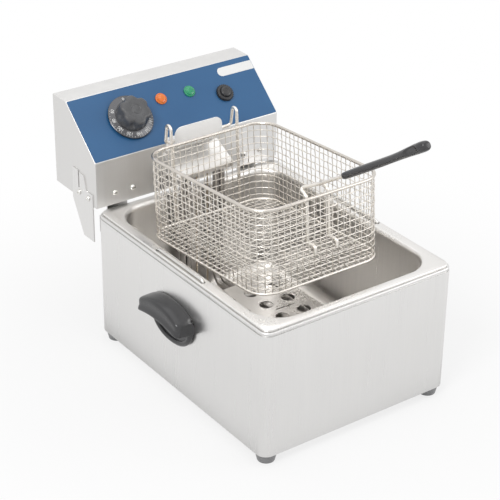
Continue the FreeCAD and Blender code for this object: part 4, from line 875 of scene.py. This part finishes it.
forms = []
for i in range(UPRIGHTS):
    x, y, wx, wy = around((i + 0.5) * STEP)
    path = []
    for k in range(HALF_PITCHES + 1):
        off = CRIMP * math.cos(math.pi * (k / 2 + i)) if k < HALF_PITCHES - 1 else 0
        path.append((x + wx * off, y + wy * off, -min(k * LEVEL_PITCH / 2, DEEP)))
    forms.append(tube(in_basket(path), NET_WIRE, NET_SIDES))
for j in range(1, LEVELS + 1):
    path = []
    for k in range(2 * UPRIGHTS):
        x, y, wx, wy = around(k / 2 * STEP)
        off = -CRIMP * math.cos(math.pi * (k / 2 - 0.5 + j))
        path.append((x + wx * off, y + wy * off, -j * LEVEL_PITCH))
    forms.append(tube(in_basket(path), NET_WIRE, NET_SIDES, True))
walls = ["basket_net_" + place for place in ("front", "rear", "left", "right", "front_left", "front_right",
                                             "rear_left", "rear_right")]
piece("basket_mesh_walls", *join(*forms), "basket_wire", "basket", walls, sharp=80)


def chord(across, half, far):
    """Half length of a floor wire at a distance across, inside the round corners."""
    over = abs(across) - (half - CORNER)
    if over <= 0:
        return far
    return far - CORNER + math.sqrt(max(CORNER ** 2 - over ** 2, 0))


def floor_wires(count, crossings, half, far, sign, lengthwise):
    """Forms of one set of floor wires, which are spread over half and reach to far."""
    forms = []
    cross = 2 * far / (crossings + 1)
    for i in range(count):
        across = (i + 1) * 2 * half / (count + 1) - half
        reach = chord(across, half, far) - FLOOR_INSET
        steps = max(4, 2 * round(2 * reach / cross))
        path = []
        for k in range(steps + 1):
            t = -reach + 2 * reach * k / steps
            z = sign * CRIMP * math.cos(math.pi * ((t + far) / cross + i)) - DEEP
            path.append((across, t, z) if lengthwise else (t, across, z))
        forms.append(tube(in_basket(path), NET_WIRE, NET_SIDES))
    return forms


forms = floor_wires(FLOOR_ACROSS, FLOOR_ALONG, LONG / 2, WIDE / 2, 1, False)
forms += floor_wires(FLOOR_ALONG, FLOOR_ACROSS, WIDE / 2, LONG / 2, -1, True)
piece("basket_mesh_floor", *join(*forms), "basket_wire", "basket", ["basket_net_floor"], sharp=80)

# Basket frame: rim, bottom wire, hook and the two rods of the handle

BOTTOM_WIRE = 1.5
HOOK_Y, HOOK_TOP, HOOK_REACH = LONG / 2 + 4.25, 22.5, 8.2
HOOK_BAR_Y, HOOK_BAR_Z, HOOK_FOOT = HOOK_Y + 13.5, -2.0, 2.0 - DEEP
HOOK_LEFT, HOOK_RIGHT = -45.6, 49.4
LOOP_BENDS = (0, 4.3, 4.3, 5.0)
ROD = [(15.0, -117.95, -65.98), (15.0, -117.95, -56.98), (15.0, -104.25, -56.98), (15.0, -104.25, 0.0),
       (15.0, -89.25, 4.0), (4.2, -112.0, 13.2), (2.3, -147.0, 31.8), (2.3, -168.0, 43.45)]
ROD_BENDS = (0, 2.6, 2.6, 8, 3.2, 14, 40, 0)

outline = plan(WIDE, LONG, CORNER, 14)
ring = in_basket([(x, y, 0) for x, y in outline])
piece("basket_rim_wire", *tube(ring, FRAME_WIRE, closed=True), "rim_wire", "basket", ["basket_rim"],
      "basket_wire", sharp=60)
ring = in_basket([(x, y, -DEEP) for x, y in outline])
piece("basket_foot_wire", *tube(ring, BOTTOM_WIRE, 12, True), "basket_wire", "basket", ["basket_base_wire"],
      sharp=60)

loop = [(HOOK_Y, HOOK_FOOT), (HOOK_Y, HOOK_TOP), (HOOK_Y + HOOK_REACH, HOOK_TOP), (HOOK_BAR_Y, HOOK_BAR_Z)]
hook = [(HOOK_LEFT, y, z) for y, z in loop] + [(HOOK_RIGHT, y, z) for y, z in reversed(loop)]
path = rounded(in_basket(hook), LOOP_BENDS + LOOP_BENDS[::-1], 10)
piece("basket_hook_wire", *tube(path, FRAME_WIRE), "basket_wire", "basket", ["basket_hook"], sharp=60)

forms = [tube(rounded(in_basket(rod), ROD_BENDS, 8), FRAME_WIRE) for rod in (ROD, mirrored(ROD))]
piece("basket_handle_rods", *join(*forms), "basket_wire", "basket", ["basket_handle_wire"], sharp=60)

# Grip: slim at the neck, deeper and lifted towards its tip, dished at its sides, with a hole to hang it by

GRIP_START, GRIP_TIP = Vector((0, -151.0, 34.0)), Vector((0, -284.6, 108.4))
# Rows of (share of the length, half width, half depth, lift)
GRIP_ROWS = [(0.000, 3.2, 2.9, 0), (0.006, 4.2, 3.7, 0), (0.02, 4.9, 4.1, 0), (0.06, 5.3, 4.3, 0),
             (0.25, 5.6, 4.6, 0), (0.45, 5.7, 4.5, 0), (0.58, 5.8, 4.3, 0.1), (0.68, 6.0, 4.4, 0.4),
             (0.78, 6.4, 5.0, 0.9), (0.87, 6.8, 5.6, 1.2), (0.94, 6.8, 5.9, 1.3), (0.970, 6.5, 5.7, 1.2),
             (0.985, 5.8, 5.1, 1.1), (0.995, 4.7, 4.2, 1.0), (1.0, 3.2, 2.8, 0.9)]
GRIP_SIDES, GRIP_FULLNESS = 40, 0.85
DISH_SHARE, DISH_HALF, DISH_HIGH, DISH_DEEP, DISH_EDGE, DISH_POWER = 0.85, 0.075, 0.70, 2.3, 0.40, 0.8
DISH_SHARES = [0.765 + 0.012 * k for k in range(15)]
HANG_SHARE, HANG_RADIUS, HANG_LONG = 0.90, 2.9, 30.0


def grip_row(share):
    """Half width, half depth and lift at a share of the length, between the rows."""
    for low, high in zip(GRIP_ROWS, GRIP_ROWS[1:]):
        if share <= high[0]:
            t = (share - low[0]) / (high[0] - low[0])
            return [a + (b - a) * t for a, b in zip(low[1:], high[1:])]


way = (GRIP_TIP - GRIP_START).normalized()
rise = Vector((1, 0, 0)).cross(way) * -1
rings = []
for share in sorted({row[0] for row in GRIP_ROWS} | set(DISH_SHARES)):
    half_wide, half_deep, lift = grip_row(share)
    middle = GRIP_START.lerp(GRIP_TIP, share) + rise * lift
    ring = []
    for i in range(GRIP_SIDES):
        turn = 2 * math.pi * i / GRIP_SIDES
        c, n = math.cos(turn), math.sin(turn)
        inside = max(0.0, 1 - ((share - DISH_SHARE) / DISH_HALF) ** 2 - (n / DISH_HIGH) ** 2)
        dish = DISH_DEEP * min(1.0, inside / DISH_EDGE) ** DISH_POWER
        out = half_wide * blunt(c, GRIP_FULLNESS) - math.copysign(dish, c)
        ring.append(middle + Vector((out, 0, 0)) + rise * (half_deep * blunt(n, GRIP_FULLNESS)))
    rings.append(in_basket(ring))
mesh = subdivided(mesh_of("grip", loft(rings)))
hang = Matrix.Translation(GRIP_START.lerp(GRIP_TIP, HANG_SHARE) * MM)
hang = BASKET @ hang @ rise.to_track_quat("Z", "X").to_matrix().to_4x4()
mesh = cut(mesh, pins([hang], HANG_RADIUS, HANG_LONG, 28))
finished("basket_grip_moulded", mesh, "black_plastic", "basket", ["basket_grip"], sharp=40)

# World and floor, in metres: white to the camera and in reflections, with a plain level of light

WHITE = (1, 1, 1, 1)
WORLD_LIGHT, FLOOR_COLOUR, FLOOR_HALF = 0.55, (0.82, 0.82, 0.82, 1), 6.0
SHADOW_FROM, SHADOW_TO, SHADOW_GLOW = 0.20, 0.62, 0.75
SEEN = ("Is Camera Ray", "Is Glossy Ray", "Is Transmission Ray")


def ray_share(nodes, link, kinds):
    """One for the named kinds of ray, and zero for the others."""
    light = nodes.new("ShaderNodeLightPath")
    total = light.outputs[kinds[0]]
    for kind in kinds[1:]:
        add = nodes.new("ShaderNodeMath")
        add.operation = "MAXIMUM"
        link(total, add.inputs[0])
        link(light.outputs[kind], add.inputs[1])
        total = add.outputs[0]
    return total


def mixed(nodes, link, share, first, second, output):
    """Two shaders mixed by a share, joined to the output node."""
    mix = nodes.new("ShaderNodeMixShader")
    link(share, mix.inputs[0])
    link(first.outputs[0], mix.inputs[1])
    link(second.outputs[0], mix.inputs[2])
    link(mix.outputs[0], nodes.new(output).inputs["Surface"])


world = bpy.data.worlds.new("studio")
world.use_nodes = True
bpy.context.scene.world = world
nodes, link = world.node_tree.nodes, world.node_tree.links.new
nodes.clear()
bright = nodes.new("ShaderNodeBackground")
bright.inputs["Color"].default_value = WHITE
bright.inputs["Strength"].default_value = 1.0
soft = nodes.new("ShaderNodeBackground")
soft.inputs["Color"].default_value = WHITE
soft.inputs["Strength"].default_value = WORLD_LIGHT
mixed(nodes, link, ray_share(nodes, link, SEEN), soft, bright, "ShaderNodeOutputWorld")

# The floor shows its shadow near the object and fades to white away from it
floor_mat = bpy.data.materials.new("floor")
floor_mat.use_nodes = True
nodes, link = floor_mat.node_tree.nodes, floor_mat.node_tree.links.new
nodes.clear()
matt = nodes.new("ShaderNodeBsdfDiffuse")
matt.inputs["Color"].default_value = FLOOR_COLOUR
glow = nodes.new("ShaderNodeEmission")
glow.inputs["Strength"].default_value = 1.0
where = nodes.new("ShaderNodeTexCoord")
far = nodes.new("ShaderNodeVectorMath")
far.operation = "LENGTH"
link(where.outputs["Object"], far.inputs[0])
fade = nodes.new("ShaderNodeMapRange")
fade.interpolation_type = "SMOOTHSTEP"
fade.inputs["From Min"].default_value = SHADOW_FROM
fade.inputs["From Max"].default_value = SHADOW_TO
fade.inputs["To Min"].default_value = SHADOW_GLOW
fade.inputs["To Max"].default_value = 1.0
link(far.outputs["Value"], fade.inputs["Value"])
share = nodes.new("ShaderNodeMath")
share.operation = "MULTIPLY"
link(fade.outputs["Result"], share.inputs[1])
link(ray_share(nodes, link, SEEN), share.inputs[0])
mixed(nodes, link, share.outputs[0], matt, glow, "ShaderNodeOutputMaterial")
mesh = bpy.data.meshes.new("floor")
corners = [(x * FLOOR_HALF, y * FLOOR_HALF, 0) for x, y in ((-1, -1), (1, -1), (1, 1), (-1, 1))]
mesh.from_pydata(corners, [], [[0, 1, 2, 3]])
mesh.materials.append(floor_mat)
floor = in_scene("floor", mesh)

# Lights, in metres and watts


def softbox(name, place, target, size, power):
    data = bpy.data.lights.new(name, "AREA")
    data.shape = "RECTANGLE"
    data.size, data.size_y = size
    data.energy = power
    way = Vector(target) - Vector(place)
    turn = way.to_track_quat("-Z", "Y").to_matrix().to_4x4()
    in_scene(name, data).matrix_world = Matrix.Translation(place) @ turn


softbox("key", (-1.3, -0.7, 1.6), (0, 0, 0.15), (0.7, 0.7), 17)
softbox("fill", (1.6, -1.2, 1.1), (0, 0, 0.15), (1.4, 1.0), 9)
softbox("top", (0.1, 0.3, 2.2), (0, 0, 0.1), (2.2, 2.2), 10)

# Camera at the place that was solved from the photo's edges, in metres

CAMERA_PLACE, CAMERA_LENS = (-1.0116, -1.3529, 1.0749), 118.44
AZIMUTH, ELEVATION, ROLL = math.radians(-36.11), math.radians(28.61), math.radians(0.71)
level = math.cos(ELEVATION)
back = Vector((math.sin(AZIMUTH) * level, -math.cos(AZIMUTH) * level, math.sin(ELEVATION)))
right = Vector((math.cos(AZIMUTH), math.sin(AZIMUTH), 0))
up = back.cross(right)
across = right * math.cos(ROLL) + up * math.sin(ROLL)
upright = up * math.cos(ROLL) - right * math.sin(ROLL)
data = bpy.data.cameras.new("camera")
data.lens = CAMERA_LENS
data.sensor_width = 36.0
data.sensor_fit = "HORIZONTAL"
camera = in_scene("camera", data)
axes = Matrix((across, upright, back)).transposed().to_4x4()
camera.matrix_world = Matrix.Translation(CAMERA_PLACE) @ axes
bpy.context.scene.camera = camera
bpy.context.scene.view_settings.view_transform = "Standard"
